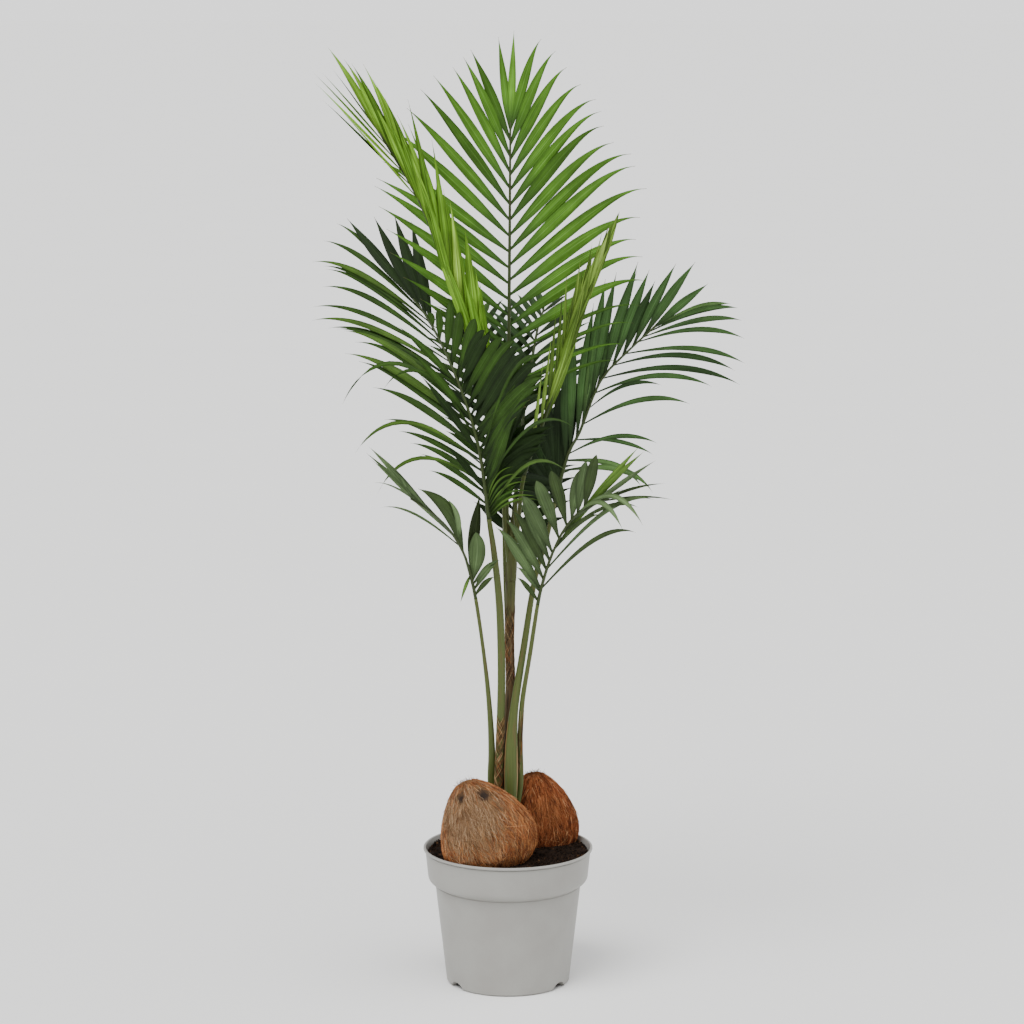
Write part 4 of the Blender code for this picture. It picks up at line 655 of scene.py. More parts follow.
def stalk_skin(name, green, brown, top=None):
    """Leaf stalk: a smooth olive skin with faint lengthwise fibres and brown bruises. Where a top colour
    is given, the skin turns to it under the fork, as young bark does."""
    made, tree, shader = material(name, green, 0.5, IOR=1.45, Specular_IOR_Level=0.3)
    fibre = node(tree, "MapRange", {"Value": streaks(tree, 1.6, 90.0), "From Min": 0.30, "From Max": 0.70})
    lit = node(tree, "HueSaturation", {"Color": green, "Value": 1.35})
    skin = node(tree, "Mix", {0: fibre.outputs[0], 6: green, 7: lit.outputs[0]}, data_type="RGBA")
    if top:
        place = node(tree, "SeparateXYZ", {"Vector": node(tree, "TexCoord").outputs["Object"]})
        share = node(tree, "MapRange", {"Value": place.outputs["Z"], "From Min": 0.43, "From Max": 0.49})
        skin = node(tree, "Mix", {0: share.outputs[0], 6: skin.outputs[2], 7: top}, data_type="RGBA")
    bruise = node(tree, "MapRange", {"Value": streaks(tree, 5.0, 60.0, 4.0), "From Min": 0.52,
                                     "From Max": 0.74})
    skin = node(tree, "Mix", {0: bruise.outputs[0], 6: skin.outputs[2], 7: brown}, data_type="RGBA")
    tree.links.new(skin.outputs[2], shader.inputs["Base Color"])
    relief = node(tree, "Bump", {"Height": fibre.outputs[0], "Strength": 0.4, "Distance": 0.3 * MM})
    tree.links.new(relief.outputs[0], shader.inputs["Normal"])
    return made


def studio_floor():
    """Seamless matt studio paper: plain and pale."""
    made, tree, shader = material("studio_paper", "#f4f4f3", 0.9)
    cloud = node(tree, "TexNoise", {"Vector": node(tree, "TexCoord").outputs["Object"], "Scale": 2.0})
    tint = node(tree, "Mix", {0: cloud.outputs["Fac"], 6: "#f3f3f2", 7: "#f6f6f5"}, data_type="RGBA")
    tree.links.new(tint.outputs[2], shader.inputs["Base Color"])
    return made


# Pot and soil


def rounded(corners, steps=5):
    """A profile through (radius, height) corners, each with its own fillet: an arc that touches both
    sides, drawn as a smooth turn between the two points where it leaves them."""
    path = [corners[0][:2]]
    for before, at, after in zip(corners[:-2], corners[1:-1], corners[2:]):
        p, c, n = (np.array(corner[:2], float) for corner in (before, at, after))
        cut = min(at[2], 0.45 * np.linalg.norm(p - c), 0.45 * np.linalg.norm(n - c))
        a, b = c + cut * unit(p - c), c + cut * unit(n - c)
        t = np.linspace(0, 1, steps)[:, None]
        path.extend((((1 - t) ** 2) * a + 2 * t * (1 - t) * c + t ** 2 * b).tolist())
    path.append(corners[-1][:2])
    return np.array(path)


def make_pot():
    """The tub as a turned surface. At a drain notch the lower edge of the wall rises along an arch,
    sqrt(R^2 - d^2) less what lies under the ground, d being the way round from the notch's middle."""
    swing = np.linspace(-math.pi / 2, math.pi / 2, NOTCH_STEPS)
    middles = np.radians(np.array(DRAIN_ANGLES) - 90)
    notch_angles = middles[:, None] + DRAIN_RADIUS * np.sin(swing) / POT_FOOT[0]
    angles = np.concatenate([turns(POT_SIDES), (notch_angles % (2 * math.pi)).ravel()])
    angles = np.unique(angles.round(6))
    away = (angles[:, None] - middles + math.pi) % (2 * math.pi) - math.pi
    along = np.abs(away).min(1) * POT_FOOT[0]
    arch = np.sqrt(np.maximum(DRAIN_RADIUS ** 2 - along ** 2, 0)) - (DRAIN_RADIUS - DRAIN_HEIGHT)
    arch = np.maximum(arch, 0.0)
    wall = np.repeat(rounded(POT_PROFILE)[:, None], len(angles), 1)
    slope = (POT_BODY_TOP[0] - POT_FOOT[0]) / (POT_BODY_TOP[1] - POT_FOOT[1])
    lifted = np.maximum(POT_FOOT[1], arch)
    wall[0] = side_by_side(POT_FOOT[0] + slope * (lifted - POT_FOOT[1]), lifted)
    base = np.where(arch > 0, wall[0, :, 0], POT_BASE_RADIUS)
    flat = np.zeros_like(arch)
    foot = [side_by_side(radius, height) for radius, height in
            ((flat, flat), (DRAIN_BACK, flat), (DRAIN_BACK, arch), (base, arch))]
    profile = np.concatenate([foot, wall])
    points = about_z(profile[..., 0], angles, profile[..., 1])
    faces = grid_faces(len(profile), len(angles), round_columns=True)
    pot = piece("pot_shell", points, faces, [moulded_polypropylene()], merge=True)
    pot.data.set_sharp_from_angle(angle=math.radians(38))
    stands_for(pot, "grey_plastic", "pot")


def nut_frame(nut):
    """The turn and the place of a coconut as arrays."""
    turn = np.array(Euler([math.radians(a) for a in nut.turn]).to_matrix())
    return turn, np.array(nut.centre)


def inside_nuts(points, margin=0.0):
    """Which points lie inside a coconut, or within a margin of one."""
    hit = np.zeros(len(points), bool)
    for nut in NUTS.values():
        turn, centre = nut_frame(nut)
        local = (points - centre) @ turn / (np.array(nut.half) + margin)
        wide = 1 - nut.taper * local[:, 2]
        hit |= (local[:, 0] / wide) ** 2 + (local[:, 1] / wide) ** 2 + local[:, 2] ** 2 < 1
    return hit


def lumps(centres, sizes, draw):
    """Small eight-faced lumps, each stretched and turned at random, as points and faces."""
    corners = np.array([(1, 0, 0), (-1, 0, 0), (0, 1, 0), (0, -1, 0), (0, 0, 1), (0, 0, -1)], float)
    sides = np.array([(0, 2, 4), (2, 1, 4), (1, 3, 4), (3, 0, 4),
                      (2, 0, 5), (1, 2, 5), (3, 1, 5), (0, 3, 5)])
    count = len(centres)
    turns = np.linalg.qr(draw.normal(size=(count, 3, 3)))[0]
    turns *= np.sign(np.linalg.det(turns))[:, None, None]
    stretch = draw.uniform(0.55, 1.25, (count, 6, 1))
    shapes = np.einsum("kpi,kij->kpj", corners * stretch * sizes[:, None, None], turns)
    points = (centres[:, None, :] + shapes).reshape(-1, 3)
    faces = (sides[None] + 6 * np.arange(count)[:, None, None]).reshape(-1, 3)
    return points, faces


def make_soil():
    """The soil's surface, a disc of rings whose height is a sum of ripples, its crumbs, and dark crumbs
    heaped in the drain notches, as spilt soil and as painted shade that darkens them."""
    draw = np.random.RandomState(21)
    radii = np.linspace(0, SOIL_RADIUS, SOIL_RINGS)
    flat = about_z(radii[:, None], turns(SOIL_SIDES), SOIL_TOP)[..., :2]
    height = 0.9 * MM * ripple(flat, 26 * MM, draw) + 0.5 * MM * ripple(flat, 7 * MM, draw)
    height += 0.3 * MM * ripple(flat, 3 * MM, draw) - 1.2 * MM * (radii[:, None] / SOIL_RADIUS) ** 6
    points = np.concatenate([flat, (SOIL_TOP + height)[..., None]], -1)
    ground = piece("soil_surface", points, grid_faces(SOIL_RINGS, SOIL_SIDES, True),
                   [damp_peat("damp_peat", "#1d130c")], merge=True)
    stands_for(ground, "potting_soil", "soil")
    reach = SOIL_RADIUS * np.sqrt(draw.uniform(0, 1, CRUMBS)) * 0.985
    bearing = draw.uniform(0, 2 * math.pi, CRUMBS)
    sizes = 0.8 * MM + 1.5 * MM * draw.uniform(0, 1, CRUMBS) ** 3
    centres = about_z(reach, bearing, SOIL_TOP + draw.uniform(-0.6, 1.2, CRUMBS) * MM)
    keep = ~inside_nuts(centres)
    centres, sizes = centres[keep], sizes[keep]
    points, faces = lumps(centres, sizes, draw)
    browns = [damp_peat("peat_crumb_%d" % k, colour)
              for k, colour in enumerate(("#120b07", "#20150d", "#2f2015", "#4a3421"))]
    # Painted shade: dark peat crumbs heaped in the drain notches darken them, as well as standing for
    # spilt soil.
    bearing = np.radians(np.repeat(DRAIN_ANGLES, NOTCH_SHADE_CRUMBS) - 90)
    count = len(bearing)
    bearing = bearing + draw.uniform(-0.16, 0.16, count)
    reach = draw.uniform(0.0600, 0.0700, count)
    low = about_z(reach, bearing, draw.uniform(0.0022, 0.0066, count))
    more, sides = lumps(low, draw.uniform(0.8, 1.5, count) * MM, draw)
    faces = np.concatenate([faces, sides + len(points)])
    points = np.concatenate([points, more])
    shade = draw.choice(4, len(faces) // 8, p=(0.40, 0.36, 0.19, 0.05))
    crumbs = piece("soil_crumbs", points, faces, browns, face_looks=np.repeat(shade, 8), smooth=False)
    stands_for(crumbs, "potting_soil")


# Coconuts


def nut_surface(nut, around, rise, lift=0.0):
    """Points of a coconut's skin, `around` radians about its axis and `rise` from its foot at -1 to its
    tip at 1, lifted off it: an egg, narrower towards its tip, with three soft ridges."""
    ring = np.sqrt(np.maximum(1 - rise ** 2, 0))
    wide = (1 + NUT_RIDGE * np.cos(3 * around) * ring) * (1 - nut.taper * rise)
    local = side_by_side((nut.half[0] + lift) * ring * np.cos(around) * wide,
                         (nut.half[1] + lift) * ring * np.sin(around) * wide,
                         (nut.half[2] + lift) * rise)
    turn, centre = nut_frame(nut)
    return local @ turn.T + centre


def strand_piece(name, slot, paths, widths, shades, looks):
    """A piece of three-sided strands along paths of points (strand, step, 3), each with its own shade.
    A strand is thickest halfway and thin at both ends, as a half wave is, raised to a power."""
    count, steps = paths.shape[:2]
    ends = np.concatenate([2 * paths[:, :1] - paths[:, 1:2], paths,
                           2 * paths[:, -1:] - paths[:, -2:-1]], 1)
    ways = unit(ends[:, 2:] - ends[:, :-2])
    side = unit(np.cross(ways, SKEW))
    other = np.cross(ways, side)
    taper = np.sin(np.linspace(STRAND_THIN, math.pi - STRAND_THIN, steps)) ** 0.6
    size = widths[:, None] * taper[None, :]
    points = np.stack([paths + size[..., None] * (math.cos(a) * side + math.sin(a) * other)
                       for a in turns(3)], 2)
    sides = grid_faces(steps, 3, True)
    faces = (sides[None] + (3 * steps * np.arange(count))[:, None, None]).reshape(-1, 4)
    along = np.linalg.norm(np.diff(paths, axis=1), axis=-1).cumsum(1)
    along = np.concatenate([np.zeros((count, 1)), along], 1)
    uv = side_by_side(np.arange(3) * 0.4 * MM, along[..., None])
    made = piece(name, points, faces, looks, face_looks=np.repeat(shades, len(sides)), uv=uv)
    stands_for(made, slot)


def nut_skin(name, nut, eyes, draw):
    """A coconut's skin: the egg with a fine relief of ripples, and its eyes sunk in it as a bell curve of
    the way from their middle, whose edge a ripple makes uneven."""
    tilt = np.linspace(-math.pi / 2, math.pi / 2, NUT_RINGS)
    rise, turn = np.meshgrid(np.sin(tilt), turns(NUT_SIDES), indexing="ij")
    skin = nut_surface(nut, turn, rise)
    normal = unit(skin - np.array(nut.centre))
    relief = 0.4 * MM * ripple(side_by_side(turn * 12, rise * 1.5), 1.6, draw, 40)
    relief += 0.5 * MM * ripple(skin, 14 * MM, draw)
    depth = np.zeros_like(relief)
    for spot, size in eyes:
        uneven = 1 + 0.16 * ripple(skin, 5 * MM, draw)
        away = np.linalg.norm(skin - spot, axis=-1) / size / uneven
        depth = np.maximum(depth, np.exp(-away ** 2))
    skin = skin + (relief - SKIN_UNDER - EYE_DEPTH * depth)[..., None] * normal
    uv = side_by_side(turn * nut.half[0], tilt[:, None] * nut.half[2])
    shell = piece(name + "_skin", skin, grid_faces(NUT_RINGS, NUT_SIDES, True),
                  [coir(name + "_coir", *nut.skin)], uv=uv, blade=side_by_side(depth, depth), merge=True)
    stands_for(shell, "coconut_husk", name)


def nut_coat(name, nut, eyes, browns, draw):
    """The combed coat of coir: strands that run down the egg from drawn places, a few of them slanted or
    standing off as strays, and none over an eye or down in the soil. Their browns go by wisps, a ripple
    over the skin with a draw added to it, and those in the worn patch have browns of their own."""
    count = NUT_STRANDS
    start = draw.uniform(-0.97, 0.97, count)
    bearing = draw.uniform(0, 2 * math.pi, count)
    length = draw.uniform(0.04, 0.13, count)
    slant = draw.normal(0, 0.05, count)
    slant = slant + 0.25 * (draw.uniform(0, 1, count) > 0.90) * draw.normal(0, 1, count)
    t = np.linspace(0, 1, STRAND_STEPS)
    line_tilt = np.arcsin(start)[:, None] - length[:, None] * 2.2 * t
    line_turn = bearing[:, None] + slant[:, None] * t + 0.02 * np.sin(t * 5 + bearing[:, None] * 9)
    stray = draw.uniform(0, 1, count) > 0.985
    lift = draw.uniform(-0.5, 0.4, count)[:, None] * MM + stray[:, None] * 2.0 * MM * t ** 2
    paths = nut_surface(nut, line_turn, np.sin(np.clip(line_tilt, -1.5, 1.5)), lift)
    middle = paths[:, STRAND_STEPS // 2]
    keep = middle[:, 2] > SOIL_TOP - 3 * MM
    for spot, size in eyes:
        keep &= np.linalg.norm(paths - spot, axis=-1).min(1) > 0.55 * size * draw.uniform(0.6, 1.5, count)
    widths = draw.uniform(0.18, 0.34, count) * MM
    bearing, height, size = nut.patch
    patch = nut_surface(nut, bearing, height)
    worn = np.linalg.norm(middle - patch, axis=-1) < size * (1 + 0.25 * draw.normal(0, 1, count))
    wisps = side_by_side(line_turn[:, STRAND_STEPS // 2] / 0.030, start / 0.22)
    wisps = 0.7 * ripple(wisps, 2.0, draw, 60) + 0.75 * draw.normal(0, 1, count)
    shade = np.digitize(wisps, (-1.1, -0.3, 0.5, 1.3)) + len(nut.worn) * ~worn
    strand_piece(name + "_coat", "coconut_husk", paths[keep], widths[keep], shade[keep], browns)


def nut_fuzz(name, nut, eyes, browns, draw):
    """Short hairs that stand off the coat, most of them round its tip, each bent by the square of the way
    along it."""
    count = NUT_HAIRS
    start = np.where(draw.uniform(0, 1, count) > 0.35, draw.uniform(-0.5, 0.9, count),
                     draw.uniform(0.9, 0.995, count))
    bearing = draw.uniform(0, 2 * math.pi, count)
    root = nut_surface(nut, bearing, start, -0.5 * MM)
    off = unit(unit(root - np.array(nut.centre)) + 0.8 * draw.normal(size=(count, 3)))
    reach = draw.uniform(1.5, 4.5, count) * MM * np.where(start > 0.9, 1.25, 0.8)
    t = np.linspace(0, 1, STRAND_STEPS)
    bend = draw.normal(0, 0.25, (count, 1, 3)) * reach[:, None, None] * (t ** 2)[None, :, None]
    paths = root[:, None] + off[:, None] * reach[:, None, None] * t[None, :, None] + bend
    keep = root[:, 2] > SOIL_TOP
    for spot, size in eyes:
        keep &= np.linalg.norm(root - spot, axis=-1) > size
    shade = len(nut.worn) + draw.randint(0, 2, keep.sum())
    widths = np.full(len(shade), HAIR_WIDTH)
    strand_piece(name + "_fuzz", "coconut_husk", paths[keep], widths, shade, browns)


def make_nut(name, nut):
    """A husked coconut: its skin, the combed coat over it and the fuzz that stands off the coat."""
    draw = np.random.RandomState(nut.seed)
    eyes = [(nut_surface(nut, bearing, height), size) for bearing, height, size in nut.eyes]
    nut_skin(name, nut, eyes, draw)
    browns = [fibre_strand("%s_strand_%d" % (name, k), colour)
              for k, colour in enumerate(nut.worn + nut.browns)]
    nut_coat(name, nut, eyes, browns, draw)
    nut_fuzz(name, nut, eyes, browns, draw)


# Trunk, stalks and ribs


def curve_through(points, values, steps):
    """A smooth curve through the points, and the values at its vertices: each span between two points
    is a cubic whose end tangents join the neighbouring points, read at even steps."""
    p = np.asarray(points, float)
    p = np.vstack([2 * p[0] - p[1], p, 2 * p[-1] - p[-2]])
    t = (np.arange(steps) / steps)[:, None]
    spans = [0.5 * (2 * b + (c - a) * t + (2 * a - 5 * b + 4 * c - d) * t ** 2
                    + (3 * b - a - 3 * c + d) * t ** 3)
             for a, b, c, d in zip(p[:-3], p[1:-2], p[2:-1], p[3:])]
    line = np.vstack(spans + [p[-2:-1]])
    at = np.arange(len(line)) / steps
    return line, np.interp(at, np.arange(len(values)), values)


def headings(line):
    """The direction of a line at each of its vertices, from the vertices before and after."""
    ends = np.vstack([2 * line[0] - line[1], line, 2 * line[-1] - line[-2]])
    return unit(ends[2:] - ends[:-2])


def lengths_of(line):
    """The length of a line up to each of its vertices."""
    return np.concatenate([[0], np.cumsum(np.linalg.norm(np.diff(line, axis=0), axis=1))])


def tube(line, ways, radii, sides, relief=None):
    """The points of a tube, rings square to the line, and its UV map in metres round and along. The
    relief, one number a ring and side, stands off the radius."""
    angles = turns(sides)
    u, v = square_to(ways)
    spread = np.cos(angles)[None, :, None] * u[:, None] + np.sin(angles)[None, :, None] * v[:, None]
    size = np.broadcast_to(np.asarray(radii)[:, None], (len(line), sides))
    size = size + (0 if relief is None else relief)
    points = line[:, None] + size[..., None] * spread
    round_way = np.abs(angles / math.pi - 1)[None, :] * math.pi * np.asarray(radii).mean()
    return points, side_by_side(round_way, lengths_of(line)[:, None])


def closed_tube(name, line, ways, radii, sides, looks, relief=None):
    """A tube piece whose two ends are drawn in to a point on the line."""
    points, uv = tube(line, ways, radii, sides, relief)
    ends = [np.repeat(line[k][None, None], sides, 1) for k in (0, -1)]
    points = np.concatenate([ends[0], points, ends[1]])
    uv = np.concatenate([uv[:1], uv, uv[-1:]])
    return piece(name, points, grid_faces(len(points), sides, True), looks, uv=uv, merge=True)


def seat_of(frond):
    """Where a stalk starts: beside the trunk at a height and bearing, or, where that would lie below the
    trunk's foot, at a place on its flat top."""
    height, bearing = frond.seat
    if height < TRUNK_LINE[0][2]:
        return np.array([frond.seat[0], frond.seat[1], TRUNK_LINE[-1][2] + GAP])
    line, radii = curve_through(TRUNK_LINE, TRUNK_RADII, 3)
    middle = read_along(height, line[:, 2], line)
    off = np.interp(height, line[:, 2], radii) + frond.radii[0] + GAP
    a = math.radians(bearing)
    return middle + off * np.array([math.cos(a), math.sin(a), 0.0])


def tree_of(points, faces):
    """A tree of faces, for testing whether two pieces cross."""
    return BVHTree.FromPolygons(np.asarray(points).reshape(-1, 3).tolist(), np.asarray(faces).tolist())


def tube_tree(line, ways, radii, sides):
    """A tree of the faces of a plain tube."""
    return tree_of(tube(line, ways, radii, sides)[0], grid_faces(len(line), sides, True))


def wound_paths(line, ways, radii, low, high, draw, count, length, slant, side, lift=(0, 0.3)):
    """Paths that wind up a limb between two heights: each starts at a drawn height and bearing, both
    within bounds, and slants one way or the other about the limb as it climbs, just off its skin."""
    t = np.linspace(0, 1, WOUND_STEPS)
    rows_at = np.arange(len(line))
    start = draw.uniform(low, np.maximum(high - length, low + 1 * MM), count)
    height = np.clip(start[:, None] + length * t, low, high)
    at = np.interp(height, line[:, 2], rows_at)
    middle = read_along(at, rows_at, line)
    u, v = square_to(unit(read_along(at, rows_at, ways)))
    bearing = draw.uniform(*side, count)[:, None]
    turn = np.radians(bearing + slant * draw.choice((-1, 1), count)[:, None] * t)
    size = np.interp(at, rows_at, radii) + draw.uniform(*lift, count)[:, None] * MM
    return middle + size[..., None] * (np.cos(turn)[..., None] * u + np.sin(turn)[..., None] * v)


def make_fibres(lines):
    """The brown net of fibres that is left on the trunk and between the stalks' bases, crossed both ways,
    and the dry edges of the sheaths."""
    draw = np.random.RandomState(71)
    browns = [fibre_strand("sheath_fibre_%d" % k, colour) for k, colour in enumerate(NET_BROWNS)]
    for k, (name, low, high, count, length, slant, side) in enumerate(NETS):
        paths = wound_paths(*lines[name], low, high, draw, count, length, slant, side)
        shade = draw.choice(len(browns), count, p=NET_SHARES)
        widths = draw.uniform(0.14, 0.30, count) * MM
        strand_piece("fibre_net_%d" % k, "green_stem", paths, widths, shade, browns)
    for k, (name, low, high, bearing, width) in enumerate(SHEATH_EDGES):
        paths = wound_paths(*lines[name], low, high, draw, 3, high - low, 4,
                            (bearing - 5, bearing + 5), (-0.2, 0.0))
        strand_piece("sheath_edge_%d" % k, "green_stem", paths, np.full(3, width), (2, 3, 2), browns)


def make_trunk(looks, limbs):
    """The trunk under its coat of old leaf bases, with lengthwise ribs and a flared foot, and the sheath
    that wraps the fork: it swells by a quarter wave and closes upwards as one less a power of its rise."""
    draw = np.random.RandomState(31)
    line, radii = curve_through(TRUNK_LINE, TRUNK_RADII, 14)
    ways = headings(line)
    angles = turns(TRUNK_SIDES)
    place = side_by_side(angles * 3, lengths_of(line)[:, None] * 12)
    relief = 0.5 * MM * ripple(place, 1.2, draw) + 0.25 * MM * np.cos(9 * angles)[None, :]
    limbs.append(tube_tree(line, ways, radii, 10))
    trunk = closed_tube("trunk_bark", line, ways, radii - 0.3 * MM, TRUNK_SIDES, looks, relief=relief)
    stands_for(trunk, "green_stem", "trunk")
    rise = np.linspace(0, 1, SHEATH_RINGS)
    wrap = np.array(TRUNK_LINE[-1]) + SHEATH_FOOT + np.outer(rise, SHEATH_RISE)
    swell = SHEATH_RADIUS + SHEATH_SWELL * np.sin(np.clip(rise / 0.4, 0, 1) * math.pi / 2)
    swell = swell * (1 - rise ** 2.4) ** 0.8 + 0.3 * MM
    sheath = closed_tube("fork_sheath", wrap, headings(wrap), swell, SHEATH_SIDES, looks)
    stands_for(sheath, "green_stem")
    return line, ways, radii


def make_stalk(name, frond, looks, limbs):
    """The stalk of one frond, with a groove along its front whose depth is a bell curve of the way round
    and a share of the radius. Returns the line, headings and radii of the rib, and those of the stalk."""
    draw = np.random.RandomState(frond.seed + 40)
    line, radii = curve_through([seat_of(frond), *frond.points], frond.radii, 3)
    coarse_ways = headings(line)
    coarse_ways[0] = -DOWN
    cut = frond.rib_from * 3
    limbs.append(tube_tree(line[:cut + 1], coarse_ways[:cut + 1], radii[:cut + 1], 8))
    rib = (line[cut:].copy(), coarse_ways[cut:], radii[cut:])
    fine, fine_radii = curve_through([seat_of(frond), *frond.points], frond.radii, 10)
    end = frond.rib_from * 10 + 1
    fine, fine_radii = fine[:end], fine_radii[:end]
    ways = headings(fine)
    angles = turns(STALK_SIDES)
    place = side_by_side(angles * 2, lengths_of(fine)[:, None] * 10)
    relief = 0.10 * MM * ripple(place, 1.0, draw)
    groove = np.exp(-((angles - 1.5 * math.pi) / GROOVE_WIDTH) ** 2)
    relief = relief - GROOVE_DEPTH * fine_radii[:, None] * groove
    stalk = closed_tube("stalk_%s_skin" % name, fine, ways, fine_radii, STALK_SIDES, looks, relief=relief)
    stands_for(stalk, "green_stem", "stalk_" + name)
    return rib, (fine, ways, fine_radii)


# Leaflets


def leaflet_line(root, ahead, out, sweep, reach, pull, hook):
    """The middle line of a leaflet: it leaves the rib `sweep` degrees off, and its direction is drawn
    towards `pull` by the square of the way along it, and down at its very tip by the sixth power."""
    out = unit(out - ahead * (out @ ahead))
    start = math.cos(math.radians(sweep)) * ahead + math.sin(math.radians(sweep)) * out
    s = (np.arange(LEAFLET_STEPS) + 0.5) / LEAFLET_STEPS
    ways = unit(start + (s ** 2)[:, None] * np.asarray(pull, float) + (s ** 6)[:, None] * hook * DOWN)
    line = np.vstack([root, root + np.cumsum(ways, axis=0) * reach / LEAFLET_STEPS])
    return line, start, unit(np.cross(ahead, out))


def blade_width(s, full, blunt, foot):
    """Half width of a blade along its length as a share of the greatest: it swells from its foot by a
    quarter wave up to where it is fullest, the more slowly the further out that is, then falls away as
    one less a power of the way left, that difference raised again to a power, which draws out a sharp
    point and leaves a blunt end full."""
    swell = foot + (1 - foot) * np.sin(np.clip(s / full, 0, 1) * math.pi / 2) ** (2.8 * full)
    away = np.clip((s - full) / (1 - full), 0, 1)
    return swell * (1 - away ** blunt) ** (1.45 if blunt < 2.5 else 0.9)


def blade_points(line, start, face, width, row, wring, stations=STATIONS, across=BLADE_ACROSS):
    """The points of one blade: at each station a cross-section with a raised midrib and one soft pleat
    on each side, square to the middle line and rolled about it, which untwists along the blade."""
    edge = unit(np.cross(face, start))
    s = np.sin(np.linspace(0, math.pi / 2, stations)) ** 1.15
    where = np.linspace(0, 1, len(line))
    middle = read_along(s, where, line)
    ways = headings(middle)
    turn = np.radians(row.roll + (row.twist + wring) * np.clip(1.5 * s, 0, 1))[:, None]
    edge = np.cos(turn) * edge + np.sin(turn) * unit(face)
    side = unit(edge - (edge * ways).sum(1)[:, None] * ways)
    up = np.cross(ways, side)
    up = up * (1.0 if up[stations // 2] @ UPPER_SIDE > 0 else -1.0)
    foot = np.clip(LEAFLET_FOOT / width, 0.14, 0.36)
    half = 0.5 * width * np.maximum(blade_width(s, row.full, row.blunt, foot), 0.03)
    rise = -BLADE_FOLD * np.abs(across) + BLADE_PLEAT * np.cos(across * 3 * math.pi)
    points = middle[:, None] + half[:, None, None] * (across[None, :, None] * side[:, None]
                                                     + rise[None, :, None] * up[:, None])
    return points, s


def place_on(line, ways, share):
    """The point and the heading at a share of a line's length."""
    lengths = lengths_of(line)
    at = share * lengths[-1]
    return read_along(at, lengths, line), unit(read_along(at, lengths, ways))


def turn_about(vector, axis, degrees):
    """A vector turned about an axis."""
    a = math.radians(degrees)
    along = axis * (axis @ vector)
    return vector * math.cos(a) + np.cross(axis, vector) * math.sin(a) + along * (1 - math.cos(a))


def grow_row(row, rib, draw, others, play):
    """One row of leaflets by the solids' rule: each is laid with a small irregularity, its tone varied by
    `play` and a short one made narrower, turned aside where it would touch another piece, and skipped
    where no turn clears it."""
    line, ways = rib[:2]
    made = []
    rough_faces = grid_faces(ROUGH_STATIONS, len(ROUGH_ACROSS))
    for share in np.linspace(0, 1, row.count):
        wobble = draw.uniform(-1, 1, 8)
        root, ahead = place_on(line, ways, row.span[0] + share * (row.span[1] - row.span[0]))
        sweep = between(share, row.sweep) + SWEEP_PLAY * wobble[0]
        reach = between(share, row.reach) * (1 + REACH_PLAY * wobble[1])
        width = row.width * (1 + WIDTH_PLAY * wobble[2]) * min(1.0, 0.40 + reach / 0.3)
        pull = np.asarray(row.pull) * (1 + PULL_PLAY * wobble[4])
        wring = WRING_PLAY * wobble[5]
        tone = row.tone + play * wobble[6]
        for aside in TURN_ASIDE:
            out = turn_about(unit(row.out), ahead, aside + ASIDE_PLAY * wobble[3])
            path, start, face = leaflet_line(root, ahead, out, sweep, reach, pull, row.hook)
            rough = blade_points(path, start, face, width + 2 * CLEARANCE, row, wring,
                                 ROUGH_STATIONS, ROUGH_ACROSS)[0]
            tree = tree_of(rough, rough_faces)
            if not any(tree.overlap(other) for other in others):
                points, s = blade_points(path, start, face, width, row, wring)
                dry = s if row.blunt < 2.3 else 0.95 * s
                made.append(Leaflet(points, s, dry, tone, width, reach, rough))
                break
    return made


def make_frond(name, frond, rib, looks, others):
    """The rib and the leaflets of one frond. Returns the tree of its leaflets."""
    line, _, radii = rib
    draw = np.random.RandomState(frond.seed)
    leaflets = []
    for row in frond.rows:
        leaflets += grow_row(row, rib, draw, others, GREENS[frond.greens].play)
    fine = np.linspace(0, 1, RIB_RINGS)
    where = lengths_of(line) / lengths_of(line)[-1]
    smooth = read_along(fine, where, line)
    stem = closed_tube("rib_%s" % name, smooth, headings(smooth), np.interp(fine, where, radii),
                       RIB_SIDES, [looks["rib"]])
    stands_for(stem, "green_stem")

    points, faces, uvs, blades, shades = [], [], [], [], []
    per = STATIONS * len(BLADE_ACROSS)
    blade_faces = grid_faces(STATIONS, len(BLADE_ACROSS))
    for k, leaflet in enumerate(leaflets):
        points.append(leaflet.points.reshape(-1, 3))
        faces.append(blade_faces + k * per)
        across = BLADE_ACROSS * 0.5 * leaflet.width + k * VEIN_SHIFT[0]
        along = (leaflet.stations * leaflet.reach)[:, None] + k * VEIN_SHIFT[1]
        uvs.append(side_by_side(across, along).reshape(-1, 2))
        blades.append(side_by_side(0.5 + 0.5 * BLADE_ACROSS, leaflet.dry[:, None]).reshape(-1, 2))
        shades.append(np.full(len(blade_faces), int(np.clip(round(leaflet.tone * 4), 0, 4))))
    leaves = piece("leaflets_%s" % name, np.concatenate(points), np.concatenate(faces),
                   looks[frond.greens], face_looks=np.concatenate(shades), uv=np.concatenate(uvs),
                   blade=np.concatenate(blades))
    stands_for(leaves, frond.slot, "frond_" + name)
    rough = [leaflet.rough.reshape(-1, 3) for leaflet in leaflets]
    rough_faces = [grid_faces(ROUGH_STATIONS, len(ROUGH_ACROSS)) + len(rough[0]) * k
                   for k in range(len(rough))]
    return tree_of(np.concatenate(rough), np.concatenate(rough_faces))


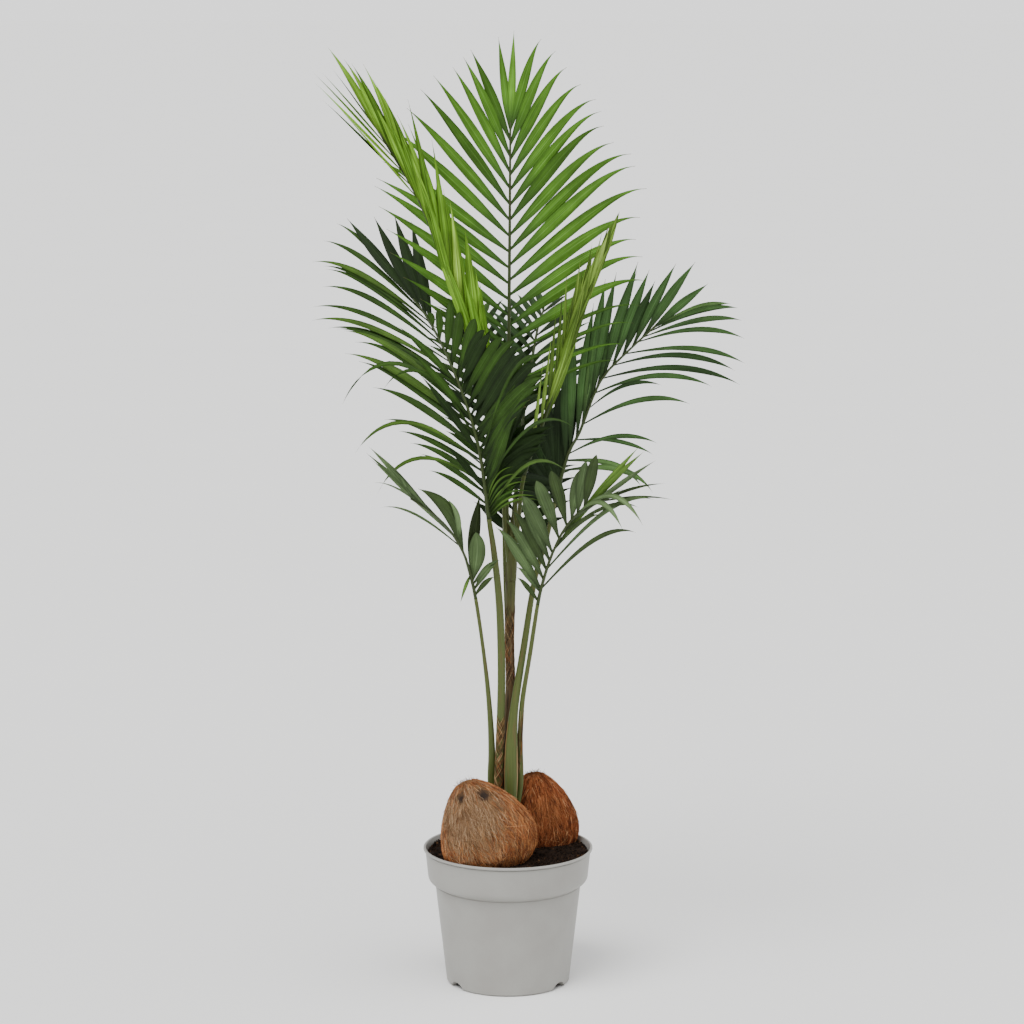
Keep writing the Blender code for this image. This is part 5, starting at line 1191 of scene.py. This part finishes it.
def make_plant():
    """The trunk, the stalks, the fibres at their bases, and every frond, kept clear of all that is laid
    before it and of the ribs of those still to come."""
    limbs = []
    looks = {"rib": stalk_skin("leaf_rib", "#2c3816", "#39361c"),
             "stalk": stalk_skin("leaf_stalk", "#434c22", "#574a2b"),
             "bark": stalk_skin("fibrous_bark", "#55442a", "#2c1c0f", "#474b24")}
    for family, greens in GREENS.items():
        looks[family] = [leaf_skin("palm_leaf_%s_%d" % (family, k), tone, greens)
                         for k, tone in enumerate(greens.tones)]
    lines = {"trunk": make_trunk([looks["bark"]], limbs)}
    ribs = {}
    for name, frond in FRONDS.items():
        ribs[name], lines[name] = make_stalk(name, frond, [looks["stalk"]], limbs)
    make_fibres(lines)
    trees = {}
    for name, (line, ways, radii) in ribs.items():
        trees[name] = tube_tree(line, ways, radii + CLEARANCE, 6)
    for name, frond in FRONDS.items():
        others = limbs + [tree for other, tree in trees.items() if other != name]
        trees[name] = make_frond(name, frond, ribs[name], looks, others)


# Stage


def sky_lamp(name, bearing, height, spread, strength):
    """A far, broad, soft lamp: where it stands round the plant and how high, in degrees, how wide it
    looks from the plant, and how strong it is."""
    lamp = bpy.data.lights.new(name, "SUN")
    lamp.angle = math.radians(spread)
    lamp.energy = strength
    obj = bpy.data.objects.new(name, lamp)
    obj.rotation_euler = (math.radians(90 - height), 0.0, math.radians(bearing))
    bpy.context.collection.objects.link(obj)


def make_stage():
    """A pale floor, two broad soft lamps, a white surround that is brightest at the horizon and dimmer
    overhead, and the camera."""
    reach = 300.0
    corners = [(-reach, -reach, 0), (reach, -reach, 0), (reach, reach, 0), (-reach, reach, 0)]
    floor = piece("studio_floor", corners, [(0, 1, 2, 3)], [studio_floor()], smooth=False)
    world = bpy.data.worlds.new("white_surround")
    bpy.context.scene.world = world
    world.use_nodes = True
    tree = world.node_tree
    way = node(tree, "SeparateXYZ", {"Vector": node(tree, "TexCoord").outputs["Generated"]})
    level = node(tree, "MapRange", {"Value": way.outputs["Z"], "From Min": 0.02, "From Max": 0.30,
                                    "To Min": 1.55, "To Max": 0.50})
    tree.links.new(level.outputs["Result"], tree.nodes["Background"].inputs["Strength"])
    tree.nodes["Background"].inputs["Color"].default_value = (1.0, 1.0, 1.0, 1.0)
    sky_lamp("key", -38, 56, 40, 2.9)
    sky_lamp("fill", 55, 60, 60, 1.6)
    camera = bpy.data.cameras.new("camera")
    camera.sensor_width = 36.0
    camera.lens = CAMERA_LENS
    camera.clip_end = 800.0
    viewer = bpy.data.objects.new("camera", camera)
    viewer.location = CAMERA_PLACE
    viewer.rotation_euler = (math.radians(90 - CAMERA_PITCH), 0.0, 0.0)
    bpy.context.collection.objects.link(viewer)
    bpy.context.scene.camera = viewer


make_stage()
make_pot()
make_soil()
for name, nut in NUTS.items():
    make_nut(name, nut)
make_plant()
